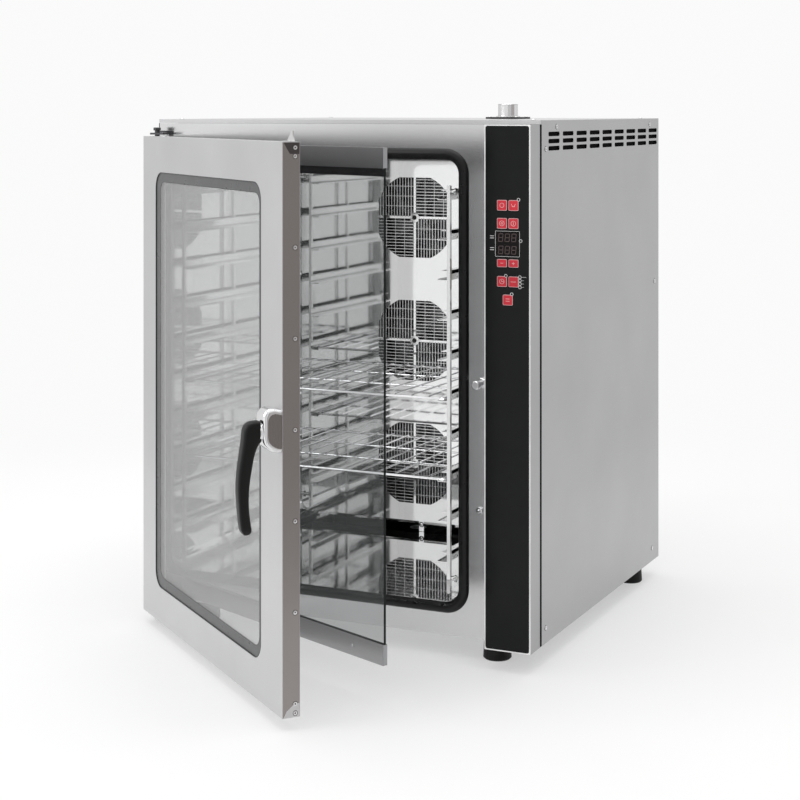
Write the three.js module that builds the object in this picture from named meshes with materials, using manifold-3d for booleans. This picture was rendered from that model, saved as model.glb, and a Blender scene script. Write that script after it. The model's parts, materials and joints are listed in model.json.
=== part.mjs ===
// Ten-level combi steamer oven with a two-leaf glass door, a strip control column and three fans.
// Millimetres, +Z up. Origin: centre of the flat pad under the base pan. The front faces -Y.
import * as THREE from 'three';
import { mergeVertices } from 'three/addons/utils/BufferGeometryUtils.js';
import Module from 'manifold-3d';

const wasm = await Module();
wasm.setup();

// ---------------------------------------------------------------- driving dimensions
const BODY_W = 860;
const BODY_D = 785;
const BODY_H = 1006;
const SHEET = 1.5;              // steel sheet
const GAP = 0.3;                // clearance between neighbouring pieces
const TOP_H = 8;                // height of the top cover
const VENT = { rows: [987, 973, 959], columns: 9, first: -314, pitch: 82.6, length: 58, height: 7 };
const INLET = { x: 300, z: 120, hole: 13 };      // water inlet in the rear panel
const CABLE = { x: 300, z: 60, hole: 12 };       // cable entry in the rear panel
const LEFT = -BODY_W / 2;
const RIGHT = BODY_W / 2;
const FRONT = -BODY_D / 2;
const BACK = BODY_D / 2;

// cooking chamber, inner faces
const CAVITY = { x0: -402, x1: 262, z0: 64, z1: 938, back: 225, corner: 28 };
const INSULATION = 22;          // mineral wool thickness
const INSULATION_AIR = 2;       // space between liner and wool
const SEAL = { width: 22, lap: 2, proud: 8 };    // lap: over the mouth's edge; proud: in front of the frame
const LAMP = { y: -290, z: 700, r: 32 };         // in the right wall

// fans and their guard
const FAN_X = -71;
const FAN_Z = [220, 503, 786];
const GUARD_Y = 130;
const GUARD_BOTTOM = 88;
const GRILLE_R = 100;
const GRILLE_FLAT = 92;         // the grille's circle is cut flat this far above and below its centre
const SLOT_PITCH = 14.2;
const SLOT_WIDTH = 9.6;
const WHEEL = { radius: 92, y0: 140, y1: 196, blades: 8, hub: 22 };
const HEATER = { radius: 116, tube: 4.2, y: 182 };
const MOTOR = { radius: 54, y0: 256, y1: 380, shaft: 7, flange: 66 };
const INJECTOR = { x: FAN_X + 150, z: 560, r: 4 };
const STATION = ['lower', 'middle', 'upper'];

// shelves and racks: trays of 600 x 400
const TRAY = { x: -80, width: 600, depth: 400, y0: -362 };
const LEVELS = 10;
const LEVEL_PITCH = 80;
const LEVEL_0 = 136;            // lowest ledge
const LEDGE = 20;               // how far a ledge reaches under the tray
const CHANNEL_H = 20;           // height of a rail's channel
const SHELF_LEVELS = { lower_shelf: 2, upper_shelf: 4 };
const WIRE = 5;

// control column beside the door
const COLUMN_X = 336;           // its left side
const COLUMN_PROUD = 53;        // it stands this far in front of the frame
const COLUMN_WALL = 2;
const FACE_Y = FRONT - COLUMN_PROUD;
const FASCIA_T = 3;
const BUTTON = { size: 20, proud: 0.9, travel: 1.2, deep: 8 };
const BUTTON_X = [372.5, 396];

// door
const DOOR = { w: 765, z0: -17, z1: 979, t: 33, pinX: LEFT + 12, pinY: FRONT - 27 };
const DOOR_SKIN = 1.5;
const DOOR_REST = THREE.MathUtils.degToRad(39);
const WINDOW = { u0: 80, u1: 666, z0: 54, z1: 906, r: 34 };
const INNER = { x0: LEFT + 6, x1: 297, z0: 27, z1: 966, t: 9.5, pinX: LEFT + 9, pinY: FRONT - 14.2 };
const INNER_REST = THREE.MathUtils.degToRad(15.2);
const RAIL_H = 38;
const HANDLE = { x: LEFT + 748, z: 478, bossR: 33, bossN: 30 };
const STRIKE = { x: 312, z: 502, r: 6.5, reach: 42 };
const DOOR_FACE = FACE_Y;       // the closed door's outer face lies level with the column's
const DOOR_BACK = DOOR_FACE + DOOR.t;
const SWITCH_STUD = { x: 306, z: 252 };

const BASE_PAD = { side: 300, step: 1 };         // flat square that stands down from the pan's underside
const FOOT = { h: 40, r: 28, frontX: 330, frontY: FRONT + 30, rearX: 390, rearY: BACK - 92 };
const OUTLET = { x: 218, y: -20, r: 21.5, wall: 2, h: 32, plate: 74 };
const DRAIN = { x: -80, y: 170, r: 20, pipeZ: 20, pipeR: 16 };

// ---------------------------------------------------------------- materials
const metal = (color, roughness) => new THREE.MeshStandardMaterial({ color, roughness, metalness: 1 });
const plain = (color, roughness) => new THREE.MeshStandardMaterial({ color, roughness, metalness: 0 });
const glass = (color, opacity) =>
  new THREE.MeshStandardMaterial({ color, roughness: 0.05, metalness: 0, transparent: true, opacity });
const STEEL = () => metal(0xb8b9ba, 0.35);
const BRIGHT = () => metal(0xd2d3d4, 0.15);
const CHROME = () => metal(0xe4e5e7, 0.06);
const BLACK = () => plain(0x1b1b1c, 0.45);
const GLOSS_BLACK = () => plain(0x161617, 0.12);
const RUBBER = () => plain(0x0d0d0d, 0.3);
const RED = () => plain(0xdc4a55, 0.4);

// ---------------------------------------------------------------- solids
function solid(geometry) {
  const bare = geometry.clone();
  bare.deleteAttribute('normal');
  bare.deleteAttribute('uv');
  const merged = mergeVertices(bare, 1e-4);
  return new wasm.Manifold(new wasm.Mesh({
    numProp: 3,
    vertProperties: new Float32Array(merged.attributes.position.array),
    triVerts: new Uint32Array(merged.index.array),
  }));
}

function geometryOf(manifold) {
  const mesh = manifold.getMesh();
  const geometry = new THREE.BufferGeometry();
  geometry.setAttribute('position', new THREE.BufferAttribute(mesh.vertProperties, 3));
  geometry.setIndex(new THREE.BufferAttribute(mesh.triVerts, 1));
  geometry.computeVertexNormals();
  return geometry;
}

const join = (pieces) => pieces.reduce((sum, piece) => sum.add(piece));
const cut = (body, tools) => tools.reduce((rest, tool) => rest.subtract(tool), body);

function box(x0, x1, y0, y1, z0, z1) {
  const geometry = new THREE.BoxGeometry(x1 - x0, y1 - y0, z1 - z0);
  geometry.translate((x0 + x1) / 2, (y0 + y1) / 2, (z0 + z1) / 2);
  return solid(geometry);
}

// A round bar along 'x', 'y' or 'z' from a to b, with its other two coordinates given in X, Y, Z order.
function rod(axis, radius, a, b, p, q, segments = 18) {
  const geometry = new THREE.CylinderGeometry(radius, radius, b - a, segments);
  const middle = (a + b) / 2;
  if (axis === 'x') geometry.rotateZ(Math.PI / 2).translate(middle, p, q);
  if (axis === 'y') geometry.translate(p, middle, q);
  if (axis === 'z') geometry.rotateX(Math.PI / 2).translate(p, q, middle);
  return solid(geometry);
}

function roundedRect(x0, x1, z0, z1, r) {
  const shape = new THREE.Shape();
  shape.moveTo(x0 + r, z0);
  shape.lineTo(x1 - r, z0).absarc(x1 - r, z0 + r, r, -Math.PI / 2, 0);
  shape.lineTo(x1, z1 - r).absarc(x1 - r, z1 - r, r, 0, Math.PI / 2);
  shape.lineTo(x0 + r, z1).absarc(x0 + r, z1 - r, r, Math.PI / 2, Math.PI);
  shape.lineTo(x0, z0 + r).absarc(x0 + r, z0 + r, r, Math.PI, Math.PI * 1.5);
  return shape;
}

// A shape drawn in X and Z, made solid from y0 to y1.
function slab(shape, y0, y1, curveSegments = 4) {
  const geometry = new THREE.ExtrudeGeometry(shape, { depth: y1 - y0, bevelEnabled: false, curveSegments });
  geometry.rotateX(Math.PI / 2);
  geometry.translate(0, y1, 0);
  return solid(geometry);
}

// A profile drawn in Y and Z, made solid from x0 to x1, with rounded long edges of the given radius.
function sideSlab(shape, x0, x1, round, curveSegments = 8) {
  const settings = {
    depth: x1 - x0 - 2 * round,
    bevelEnabled: true,
    bevelThickness: round,
    bevelSize: round,
    bevelOffset: -round,
    bevelSegments: 3,
    curveSegments,
  };
  const geometry = new THREE.ExtrudeGeometry(shape, settings);
  const turn = new THREE.Matrix4().makeBasis(
    new THREE.Vector3(0, 1, 0), new THREE.Vector3(0, 0, 1), new THREE.Vector3(1, 0, 0));
  geometry.applyMatrix4(turn).translate(x0 + round, 0, 0);
  return solid(geometry);
}

const object = new THREE.Group();
function place(name, manifold, material, parent = object) {
  const mesh = new THREE.Mesh(geometryOf(manifold), material);
  mesh.name = name;
  parent.add(mesh);
  return mesh;
}

// ---------------------------------------------------------------- casing
function basePan() {
  const inset = 4;
  const flange = 24;
  const x = RIGHT - inset;
  const y0 = FRONT + inset;
  const y1 = BACK - inset;
  const half = BASE_PAD.side / 2;
  const tray = box(-x, x, y0, y1, BASE_PAD.step, flange);
  const pad = box(-half, half, -half, half, 0, BASE_PAD.step + SHEET / 2);
  const hollow = box(-x + SHEET, x - SHEET, y0 + SHEET, y1 - SHEET, BASE_PAD.step + SHEET, flange + 1);
  const drainNotch = box(DRAIN.x - DRAIN.pipeR - 2, DRAIN.x + DRAIN.pipeR + 2, y1 - 10, y1 + 1, 3, flange + 1);
  place('base_pan', cut(join([tray, pad]), [hollow, drainNotch]), STEEL());
}

function sidePanel(name, side, vented) {
  const outer = side * RIGHT;
  const inner = outer - side * SHEET;
  const y0 = FRONT + 6;
  const x = [Math.min(outer, inner), Math.max(outer, inner)];
  const sheet = box(x[0], x[1], y0, BACK, 0, BODY_H - 0.5);
  const slots = [];
  for (const z of vented ? VENT.rows : []) {
    for (let i = 0; i < VENT.columns; i += 1) {
      const y = VENT.first + i * VENT.pitch;
      slots.push(box(x[0] - 1, x[1] + 1, y - VENT.length / 2, y + VENT.length / 2,
        z - VENT.height / 2, z + VENT.height / 2));
    }
  }
  place(name, cut(sheet, slots), STEEL());
}

function topCover() {
  const z0 = BODY_H + GAP;
  const cover = box(LEFT, RIGHT, FRONT, BACK, z0, z0 + TOP_H);
  const under = box(LEFT + SHEET, RIGHT - SHEET, FRONT + SHEET, BACK - SHEET, z0 - 1, z0 + TOP_H - SHEET);
  const hole = rod('z', OUTLET.r + GAP, z0, z0 + TOP_H + 1, OUTLET.x, OUTLET.y);
  place('top_cover', cut(cover, [under, hole]), STEEL());
}

function rearPanel() {
  const sheet = box(LEFT + SHEET + GAP, RIGHT - SHEET - GAP, BACK - SHEET, BACK, 0, BODY_H - 0.5);
  const openings = [rod('y', DRAIN.pipeR + 1, BACK - 5, BACK + 5, DRAIN.x, DRAIN.pipeZ)];
  const louvre = { length: 150, height: 8, pitch: 24, rows: 4 };
  for (const fanZ of FAN_Z) {
    for (let i = 0; i < louvre.rows; i += 1) {
      const z = fanZ + (i - (louvre.rows - 1) / 2) * louvre.pitch;
      openings.push(box(FAN_X - louvre.length / 2, FAN_X + louvre.length / 2, BACK - 5, BACK + 5,
        z - louvre.height / 2, z + louvre.height / 2));
    }
  }
  openings.push(rod('y', INLET.hole, BACK - 5, BACK + 5, INLET.x, INLET.z));
  openings.push(rod('y', CABLE.hole, BACK - 5, BACK + 5, CABLE.x, CABLE.z));
  place('rear_panel', cut(sheet, openings), STEEL());
}

function frontFrame() {
  const mouth = roundedRect(CAVITY.x0, CAVITY.x1, CAVITY.z0, CAVITY.z1, CAVITY.corner);
  const face = box(LEFT, RIGHT, FRONT, FRONT + SHEET, GAP, BODY_H);
  const inset = 5;
  const depth = 14;
  const low = 26;                              // the folded rim stands clear of the base pan's flange
  const rim = box(LEFT + inset, RIGHT - inset, FRONT + SHEET / 2, FRONT + depth, low, BODY_H - inset);
  const inside = box(LEFT + inset + SHEET, RIGHT - inset - SHEET, FRONT, FRONT + depth + 1, low + SHEET,
    BODY_H - inset - SHEET);
  const ring = cut(rim, [inside]);
  place('front_frame', cut(join([face, ring]), [slab(mouth, FRONT - 5, FRONT + 5)]), STEEL());
}

// ---------------------------------------------------------------- cooking chamber
const grown = (by) => roundedRect(CAVITY.x0 - by, CAVITY.x1 + by, CAVITY.z0 - by, CAVITY.z1 + by,
  CAVITY.corner + by);
const shaftHoles = (y0, y1, radius) => FAN_Z.map((z) => rod('y', radius, y0, y1, FAN_X, z));

function wallOpenings(outer) {
  return [
    rod('z', DRAIN.r + GAP, 20, CAVITY.z0 + 5, DRAIN.x, DRAIN.y),
    rod('z', OUTLET.r + GAP, CAVITY.z1 - 5, BODY_H - 2, OUTLET.x, OUTLET.y),
    rod('x', LAMP.r - 6, CAVITY.x1 - 5, outer, LAMP.y, LAMP.z),
    rod('y', INJECTOR.r + GAP, CAVITY.back - 5, CAVITY.back + 60, INJECTOR.x, INJECTOR.z, 12),
  ];
}

function cavityLiner() {
  const shell = slab(grown(SHEET), FRONT + SHEET + GAP, CAVITY.back + SHEET);
  const hollow = slab(grown(0), FRONT, CAVITY.back);
  const holes = shaftHoles(CAVITY.back - 5, CAVITY.back + 5, MOTOR.shaft + 3);
  place('cavity_liner', cut(shell, [hollow, ...holes, ...wallOpenings(CAVITY.x1 + 5)]), BRIGHT());
}

function insulation() {
  const near = SHEET + INSULATION_AIR;
  const far = near + INSULATION;
  const shell = slab(grown(far), FRONT + 16, CAVITY.back + far);
  const hollow = slab(grown(near), FRONT + 10, CAVITY.back + near);
  const holes = shaftHoles(CAVITY.back, CAVITY.back + far + 5, MOTOR.shaft + 6);
  place('insulation', cut(shell, [hollow, ...holes, ...wallOpenings(CAVITY.x1 + far + 5)]), plain(0xd8cf9a, 1));
}

function doorSeal() {
  const outer = slab(grown(SEAL.width - SEAL.lap), FRONT - SEAL.proud, FRONT - GAP, 6);
  const inner = slab(grown(-SEAL.lap), FRONT - SEAL.proud - 5, FRONT + 5, 6);
  const ring = cut(outer, [inner]);
  place('door_seal', ring, RUBBER());
}

// One grille: four quadrants of slots, upright in two of them and level in the other two.
function grilleSlots(z0) {
  const slots = [];
  const crossBar = 4;
  const hubClear = 12;
  const count = Math.floor((GRILLE_FLAT - crossBar) / SLOT_PITCH);
  for (const [sx, sz, upright] of [[-1, 1, true], [1, 1, false], [-1, -1, false], [1, -1, true]]) {
    for (let i = 0; i < count; i += 1) {
      const offset = crossBar + SLOT_WIDTH / 2 + i * SLOT_PITCH;
      const chord = Math.sqrt(GRILLE_R ** 2 - offset ** 2);
      const near = offset < hubClear ? hubClear : crossBar;
      const far = upright ? Math.min(GRILLE_FLAT, chord) : chord;
      const across = [offset - SLOT_WIDTH / 2, offset + SLOT_WIDTH / 2];
      const along = [near, far];
      const [x, z] = upright ? [across, along] : [along, across];
      const xs = [FAN_X + sx * x[0], FAN_X + sx * x[1]].sort((p, q) => p - q);
      const zs = [z0 + sz * z[0], z0 + sz * z[1]].sort((p, q) => p - q);
      slots.push(box(...xs, GUARD_Y - 5, GUARD_Y + 5, ...zs));
    }
  }
  return slots;
}

function fanGuard() {
  const x0 = CAVITY.x0 + 12;
  const x1 = CAVITY.x1 - 12;
  const top = CAVITY.z1 - 14;
  const fold = 20;
  const corner = 8;
  const sheet = box(x0, x1, GUARD_Y, GUARD_Y + SHEET, GUARD_BOTTOM, top);
  const edge = (x) => box(x, x + SHEET, GUARD_Y + 0.5, GUARD_Y + fold, GUARD_BOTTOM + corner, top - corner);
  const slots = FAN_Z.flatMap(grilleSlots);
  place('fan_guard', join([cut(sheet, slots), edge(x0), edge(x1 - SHEET)]), BRIGHT());
}

function heaterRing(name, z0) {
  const torus = new THREE.TorusGeometry(HEATER.radius, HEATER.tube, 6, 28);
  torus.rotateX(Math.PI / 2).translate(FAN_X, HEATER.y, z0);
  const legs = [-12, 12].map((dx) => {
    const drop = Math.sqrt(HEATER.radius ** 2 - dx ** 2);
    return rod('y', HEATER.tube - 0.5, HEATER.y, CAVITY.back - GAP, FAN_X + dx, z0 - drop, 8);
  });
  place(name, join([solid(torus), ...legs]), metal(0x5c564f, 0.5));
}

function fanWheel(name, z0) {
  const { radius, y0, y1, blades, hub } = WHEEL;
  const disc = rod('y', radius, y1 - 2, y1, FAN_X, z0, 28);
  const boss = rod('y', hub, y0 + 12, y1 - 1, FAN_X, z0, 20);
  const shaft = rod('y', MOTOR.shaft, y0 + 10, MOTOR.y0 + 30, FAN_X, z0, 16);
  const vanes = [];
  for (let i = 0; i < blades; i += 1) {
    const blade = new THREE.BoxGeometry(radius - 34, y1 - y0 - 1, 2);
    blade.rotateY(0.35);
    blade.translate(34 + (radius - 34) / 2 - 3, 0, 0);
    blade.rotateY((i / blades) * Math.PI * 2);
    blade.translate(FAN_X, (y0 + y1 - 1) / 2, z0);
    vanes.push(solid(blade));
  }
  return place(name, join([disc, boss, shaft, ...vanes]), metal(0xa9aaac, 0.4));
}

function fanMotor(name, z0) {
  const body = rod('y', MOTOR.radius, MOTOR.y0 + 8, MOTOR.y1 - 14, FAN_X, z0, 24);
  const cap = rod('y', MOTOR.radius - 12, MOTOR.y1 - 15, MOTOR.y1, FAN_X, z0, 18);
  const half = MOTOR.flange;
  const flange = box(FAN_X - half, FAN_X + half, MOTOR.y0, MOTOR.y0 + 9, z0 - half, z0 + half);
  const bore = rod('y', MOTOR.shaft + 0.5, MOTOR.y0 - 5, MOTOR.y0 + 40, FAN_X, z0, 20);
  place(name, cut(join([flange, body, cap]), [bore]), plain(0x3a3d42, 0.6));
}

function rack(name, side) {
  const trayEdge = TRAY.x + side * (TRAY.width / 2);
  const web = trayEdge + side * 2;
  const pair = (a, b) => [Math.min(a, b), Math.max(a, b)];
  const [webA, webB] = pair(web, web + side * 1.5);
  const [ledgeA, ledgeB] = pair(web + side * 1, web - side * LEDGE);
  const [postA, postB] = pair(web + side * 1, web + side * 8);
  const y0 = TRAY.y0 - 4;
  const y1 = TRAY.y0 + TRAY.depth + 12;
  const pieces = [];
  for (let i = 0; i < LEVELS; i += 1) {
    const z = LEVEL_0 + i * LEVEL_PITCH;
    pieces.push(box(webA, webB, y0, y1, z - 1.5, z + CHANNEL_H));
    pieces.push(box(ledgeA, ledgeB, y0, y1, z - 1.5, z));
  }
  const top = LEVEL_0 + (LEVELS - 1) * LEVEL_PITCH + CHANNEL_H + 8;
  for (const y of [y0 + 4, (y0 + y1) / 2, y1 - 12]) {
    pieces.push(box(postA, postB, y, y + 8, CAVITY.z0 + 10, top));
  }
  place(name, join(pieces), BRIGHT());
}

function shelf(name) {
  const z = LEVEL_0 + SHELF_LEVELS[name] * LEVEL_PITCH + GAP;
  const half = TRAY.width / 2;
  const x0 = TRAY.x - half;
  const x1 = TRAY.x + half;
  const y0 = TRAY.y0;
  const y1 = TRAY.y0 + TRAY.depth;
  const pieces = [
    box(x0, x1, y0, y0 + WIRE, z, z + WIRE),
    box(x0, x1, y1 - WIRE, y1, z, z + WIRE),
    box(x0, x0 + WIRE, y0 + 1, y1 - 1, z, z + WIRE),
    box(x1 - WIRE, x1, y0 + 1, y1 - 1, z, z + WIRE),
  ];
  const bars = 11;
  for (let i = 1; i <= bars; i += 1) {
    const x = x0 + (TRAY.width * i) / (bars + 1);
    pieces.push(box(x - 1.5, x + 1.5, y0 + 0.5, y1 - 0.5, z + WIRE - 1, z + WIRE + 2));
  }
  return place(name, join(pieces), CHROME());
}

function cavityLamp() {
  const lens = rod('x', LAMP.r, CAVITY.x1 - 8, CAVITY.x1 - GAP, LAMP.y, LAMP.z, 28);
  const holder = rod('x', LAMP.r - 7, CAVITY.x1 - 1, CAVITY.x1 + 26, LAMP.y, LAMP.z, 28);
  place('cavity_lamp', join([lens, holder]), glass(0xe8e4d8, 0.5));
}

function steamInjector() {
  const tube = rod('y', INJECTOR.r, GUARD_Y + 50, CAVITY.back + 60, INJECTOR.x, INJECTOR.z, 12);
  const nut = rod('y', INJECTOR.r + 4, CAVITY.back + 40, CAVITY.back + 52, INJECTOR.x, INJECTOR.z, 6);
  place('steam_injector', join([tube, nut]), BRIGHT());
}

// ---------------------------------------------------------------- fittings
function steamOutlet() {
  const top = BODY_H + TOP_H + OUTLET.h;
  const pipe = rod('z', OUTLET.r, CAVITY.z1 - 2, top, OUTLET.x, OUTLET.y);
  const bore = rod('z', OUTLET.r - OUTLET.wall, CAVITY.z1 - 5, top + 5, OUTLET.x, OUTLET.y);
  place('steam_outlet_pipe', cut(pipe, [bore]), STEEL());
  const half = OUTLET.plate / 2;
  const z0 = BODY_H + TOP_H + 2 * GAP;
  const plate = box(OUTLET.x - half, OUTLET.x + half, OUTLET.y - half, OUTLET.y + half, z0, z0 + 4);
  const hole = rod('z', OUTLET.r + GAP, z0 - 5, z0 + 10, OUTLET.x, OUTLET.y);
  place('outlet_base_plate', cut(plate, [hole]), plain(0x303133, 0.5));
}

function drainFitting() {
  const { pipeR, pipeZ: low } = DRAIN;
  const end = BACK + 28;
  const down = rod('z', DRAIN.r, low, CAVITY.z0 - 0.5, DRAIN.x, DRAIN.y);
  const along = rod('y', pipeR, DRAIN.y - 12, end, DRAIN.x, low);
  const collar = rod('y', pipeR + 3, BACK + 8, BACK + 20, DRAIN.x, low);
  const bores = [
    rod('z', DRAIN.r - 6, low, CAVITY.z0 + 5, DRAIN.x, DRAIN.y),
    rod('y', pipeR - 3, DRAIN.y - 4, end + 5, DRAIN.x, low),
  ];
  place('drain_fitting', cut(join([down, along, collar]), bores), STEEL());
}

function waterInlet() {
  const { x, z, hole } = INLET;
  const body = box(x - 20, x + 20, BACK - 60, BACK - 20, z - 24, z + 24);
  const coil = box(x - 16, x + 16, BACK - 58, BACK - 26, z + 23, z + 56);
  const stub = rod('y', hole - 1, BACK - 21, BACK + 24, x, z);
  const bore = rod('y', hole - 5, BACK - 10, BACK + 30, x, z);
  place('water_inlet_valve', cut(join([body, coil, stub]), [bore]), plain(0xdad8cf, 0.5));
}

function cableGland() {
  const { x, z, hole } = CABLE;
  const stem = rod('y', hole - 1, BACK - 14, BACK + 22, x, z, 20);
  const nut = rod('y', hole + 4, BACK + GAP, BACK + 12, x, z, 6);
  const bore = rod('y', hole - 5, BACK - 20, BACK + 30, x, z, 16);
  place('cable_gland', cut(join([stem, nut]), [bore]), BLACK());
}

function foot(name, x, y) {
  const pad = new THREE.LatheGeometry([
    new THREE.Vector2(0, -FOOT.h),
    new THREE.Vector2(FOOT.r - 3, -FOOT.h),
    new THREE.Vector2(FOOT.r, -FOOT.h + 3),
    new THREE.Vector2(FOOT.r - 2, BASE_PAD.step - GAP),
    new THREE.Vector2(0, BASE_PAD.step - GAP),
  ], 28);
  pad.rotateX(Math.PI / 2).translate(x, y, 0);
  place(name, solid(pad), BLACK());
}

// ---------------------------------------------------------------- control column
const KEYS = [
  ['button_program', 0, 852], ['button_light', 1, 852],
  ['button_mode', 0, 817.5], ['button_steam', 1, 817.5],
  ['button_minus', 0, 741.5, 15], ['button_plus', 1, 741.5, 15],
  ['button_timer', 0, 706.5], ['button_vent', 1, 706.5],
  ['button_start', 0.5, 671.5],
];
const keyX = (column) => BUTTON_X[0] + column * (BUTTON_X[1] - BUTTON_X[0]);
const DISPLAY = { x0: 358.5, x1: 408.5, z0: 754, z1: 803 };

function controlBox() {
  const shell = box(COLUMN_X, RIGHT, FACE_Y, FRONT - GAP, 0, BODY_H);
  const hollow = box(COLUMN_X + COLUMN_WALL, RIGHT - COLUMN_WALL, FACE_Y - 1, FRONT + 1, COLUMN_WALL,
    BODY_H - COLUMN_WALL);
  const shelfTab = box(COLUMN_X + 1, RIGHT - 1, FACE_Y + FASCIA_T + 2, FACE_Y + FASCIA_T + 4, 1, 40);
  place('control_box', cut(shell, [hollow]).add(shelfTab), STEEL());
}

function controlFascia() {
  const edge = COLUMN_WALL + GAP;
  const plate = box(COLUMN_X + edge, RIGHT - edge, FACE_Y + GAP, FACE_Y + GAP + FASCIA_T, edge, BODY_H - edge);
  const holes = KEYS.map(([, column, z, height = BUTTON.size]) => {
    const x = keyX(column);
    const half = BUTTON.size / 2 + GAP;
    return box(x - half, x + half, FACE_Y - 5, FACE_Y + 9, z - height / 2 - GAP, z + height / 2 + GAP);
  });
  const display = box(DISPLAY.x0 - GAP, DISPLAY.x1 + GAP, FACE_Y - 5, FACE_Y + 9,
    DISPLAY.z0 - GAP, DISPLAY.z1 + GAP);
  place('control_fascia', cut(plate, [...holes, display]), GLOSS_BLACK());
  place('display_window', box(DISPLAY.x0, DISPLAY.x1, FACE_Y + GAP, FACE_Y + 2.5, DISPLAY.z0, DISPLAY.z1),
    plain(0x120a0a, 0.1));
}

function circuitBoard() {
  const y = FACE_Y + 20;
  const board = box(350, 416, y, y + 1.6, 640, 880);
  const chips = [[356, 372, 690, 720], [380, 404, 730, 752], [360, 410, 780, 792], [362, 374, 850, 866]];
  const blocks = chips.map(([x0, x1, z0, z1]) => box(x0, x1, y + 1, y + 9, z0, z1));
  place('circuit_board', join([board, ...blocks]), plain(0x1f5a36, 0.6));
}

function buttons() {
  for (const [name, column, z, height = BUTTON.size] of KEYS) {
    const x = keyX(column);
    const half = BUTTON.size / 2;
    const key = box(x - half, x + half, FACE_Y + GAP - BUTTON.proud, FACE_Y + BUTTON.deep, z - height / 2,
      z + height / 2);
    place(name, key, RED());
  }
}

// ---------------------------------------------------------------- door
const door = new THREE.Group();
door.position.set(DOOR.pinX, DOOR.pinY, 0);
door.rotation.z = -DOOR_REST;
const leaf = new THREE.Group();              // the door's pieces, drawn where they are when it is closed
leaf.position.set(-DOOR.pinX, -DOOR.pinY, 0);
door.add(leaf);
object.add(door);

const HINGE_PIN_R = 5;
const INNER_PIN_R = 3;

function hingeBracket(name, up) {
  const doorEnd = up ? DOOR.z1 : DOOR.z0;
  const sign = up ? 1 : -1;
  const span = (a, b) => [Math.min(doorEnd + sign * a, doorEnd + sign * b),
    Math.max(doorEnd + sign * a, doorEnd + sign * b)];
  const arm = span(3, 7);
  const pin = span(-11, 12);
  const pieces = [
    box(LEFT + 2, LEFT + 34, DOOR.pinY - 12, FRONT - 1, ...arm),
    rod('z', HINGE_PIN_R, ...pin, DOOR.pinX, DOOR.pinY, 20),
  ];
  if (up) pieces.push(box(LEFT + 2, LEFT + 34, FRONT - 4, FRONT - GAP, arm[0], arm[0] + 8));
  else {
    pieces.push(box(LEFT + 2, LEFT + 34, FRONT - 2, FRONT + 40, ...arm));
    pieces.push(box(LEFT + 8, LEFT + 34, FRONT + 12, FRONT + 40, arm[1] - 1, -GAP));
  }
  place(name, join(pieces), metal(0x8d8e90, 0.3));
}

function doorFrame() {
  const x1 = LEFT + DOOR.w;
  const skin = DOOR_SKIN;
  const shell = box(LEFT, x1, DOOR_FACE, DOOR_BACK, DOOR.z0, DOOR.z1);
  const hollow = box(LEFT + skin, x1 - skin, DOOR_FACE + skin, DOOR_BACK - skin,
    DOOR.z0 + skin, DOOR.z1 - skin);
  const pane = roundedRect(LEFT + WINDOW.u0, LEFT + WINDOW.u1, WINDOW.z0, WINDOW.z1, WINDOW.r);
  const rear = roundedRect(LEFT + 46, x1 - 60, 30, DOOR.z1 - 42, 12);
  const pins = [
    rod('z', HINGE_PIN_R + 0.4, DOOR.z1 - 20, DOOR.z1 + 5, DOOR.pinX, DOOR.pinY, 20),
    rod('z', HINGE_PIN_R + 0.4, DOOR.z0 - 5, DOOR.z0 + 20, DOOR.pinX, DOOR.pinY, 20),
  ];
  const spindle = rod('y', 7, DOOR_FACE - 5, DOOR_BACK + 5, HANDLE.x, HANDLE.z);
  const half = 14;                             // of the square hole that clears the strike's head
  const strikeHole = box(STRIKE.x - half, STRIKE.x + half, DOOR_BACK - 5, DOOR_BACK + 5,
    STRIKE.z - half, STRIKE.z + half);
  const windows = [slab(pane, DOOR_FACE - 5, DOOR_FACE + 5), slab(rear, DOOR_BACK - 5, DOOR_BACK + 5)];
  const body = cut(shell, [hollow, ...windows, ...pins, spindle, strikeHole]);
  const lug = (z0) => cut(box(LEFT + 1, LEFT + 22, DOOR_BACK - 1, INNER.pinY + 5, z0, z0 + 3),
    [rod('z', INNER_PIN_R + 0.4, z0 - 5, z0 + 8, INNER.pinX, INNER.pinY, 16)]);
  place('door_frame', join([body, lug(INNER.z1 + 1), lug(INNER.z0 - 4)]), STEEL(), leaf);
}

function doorGlass() {
  const margin = 16;
  const y0 = DOOR_FACE + DOOR_SKIN + GAP;
  const thickness = 4;
  const pane = box(LEFT + WINDOW.u0 - margin, LEFT + WINDOW.u1 + margin, y0, y0 + thickness,
    WINDOW.z0 - margin, WINDOW.z1 + margin);
  place('door_outer_glass', pane, glass(0xdfe6e4, 0.35), leaf);
}

function glassCatch() {
  const catchX = LEFT + DOOR.w - 40;
  const clip = new THREE.Shape();
  clip.moveTo(catchX, DOOR.z1 + GAP).lineTo(catchX + 30, DOOR.z1 + GAP).lineTo(catchX + 24, DOOR.z1 + 20);
  clip.closePath();
  place('glass_catch', slab(clip, DOOR_BACK - 8, DOOR_BACK - 5), BRIGHT(), leaf);
}

const outward = (n) => DOOR_FACE - n;        // n: distance in front of the door's outer face

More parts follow.
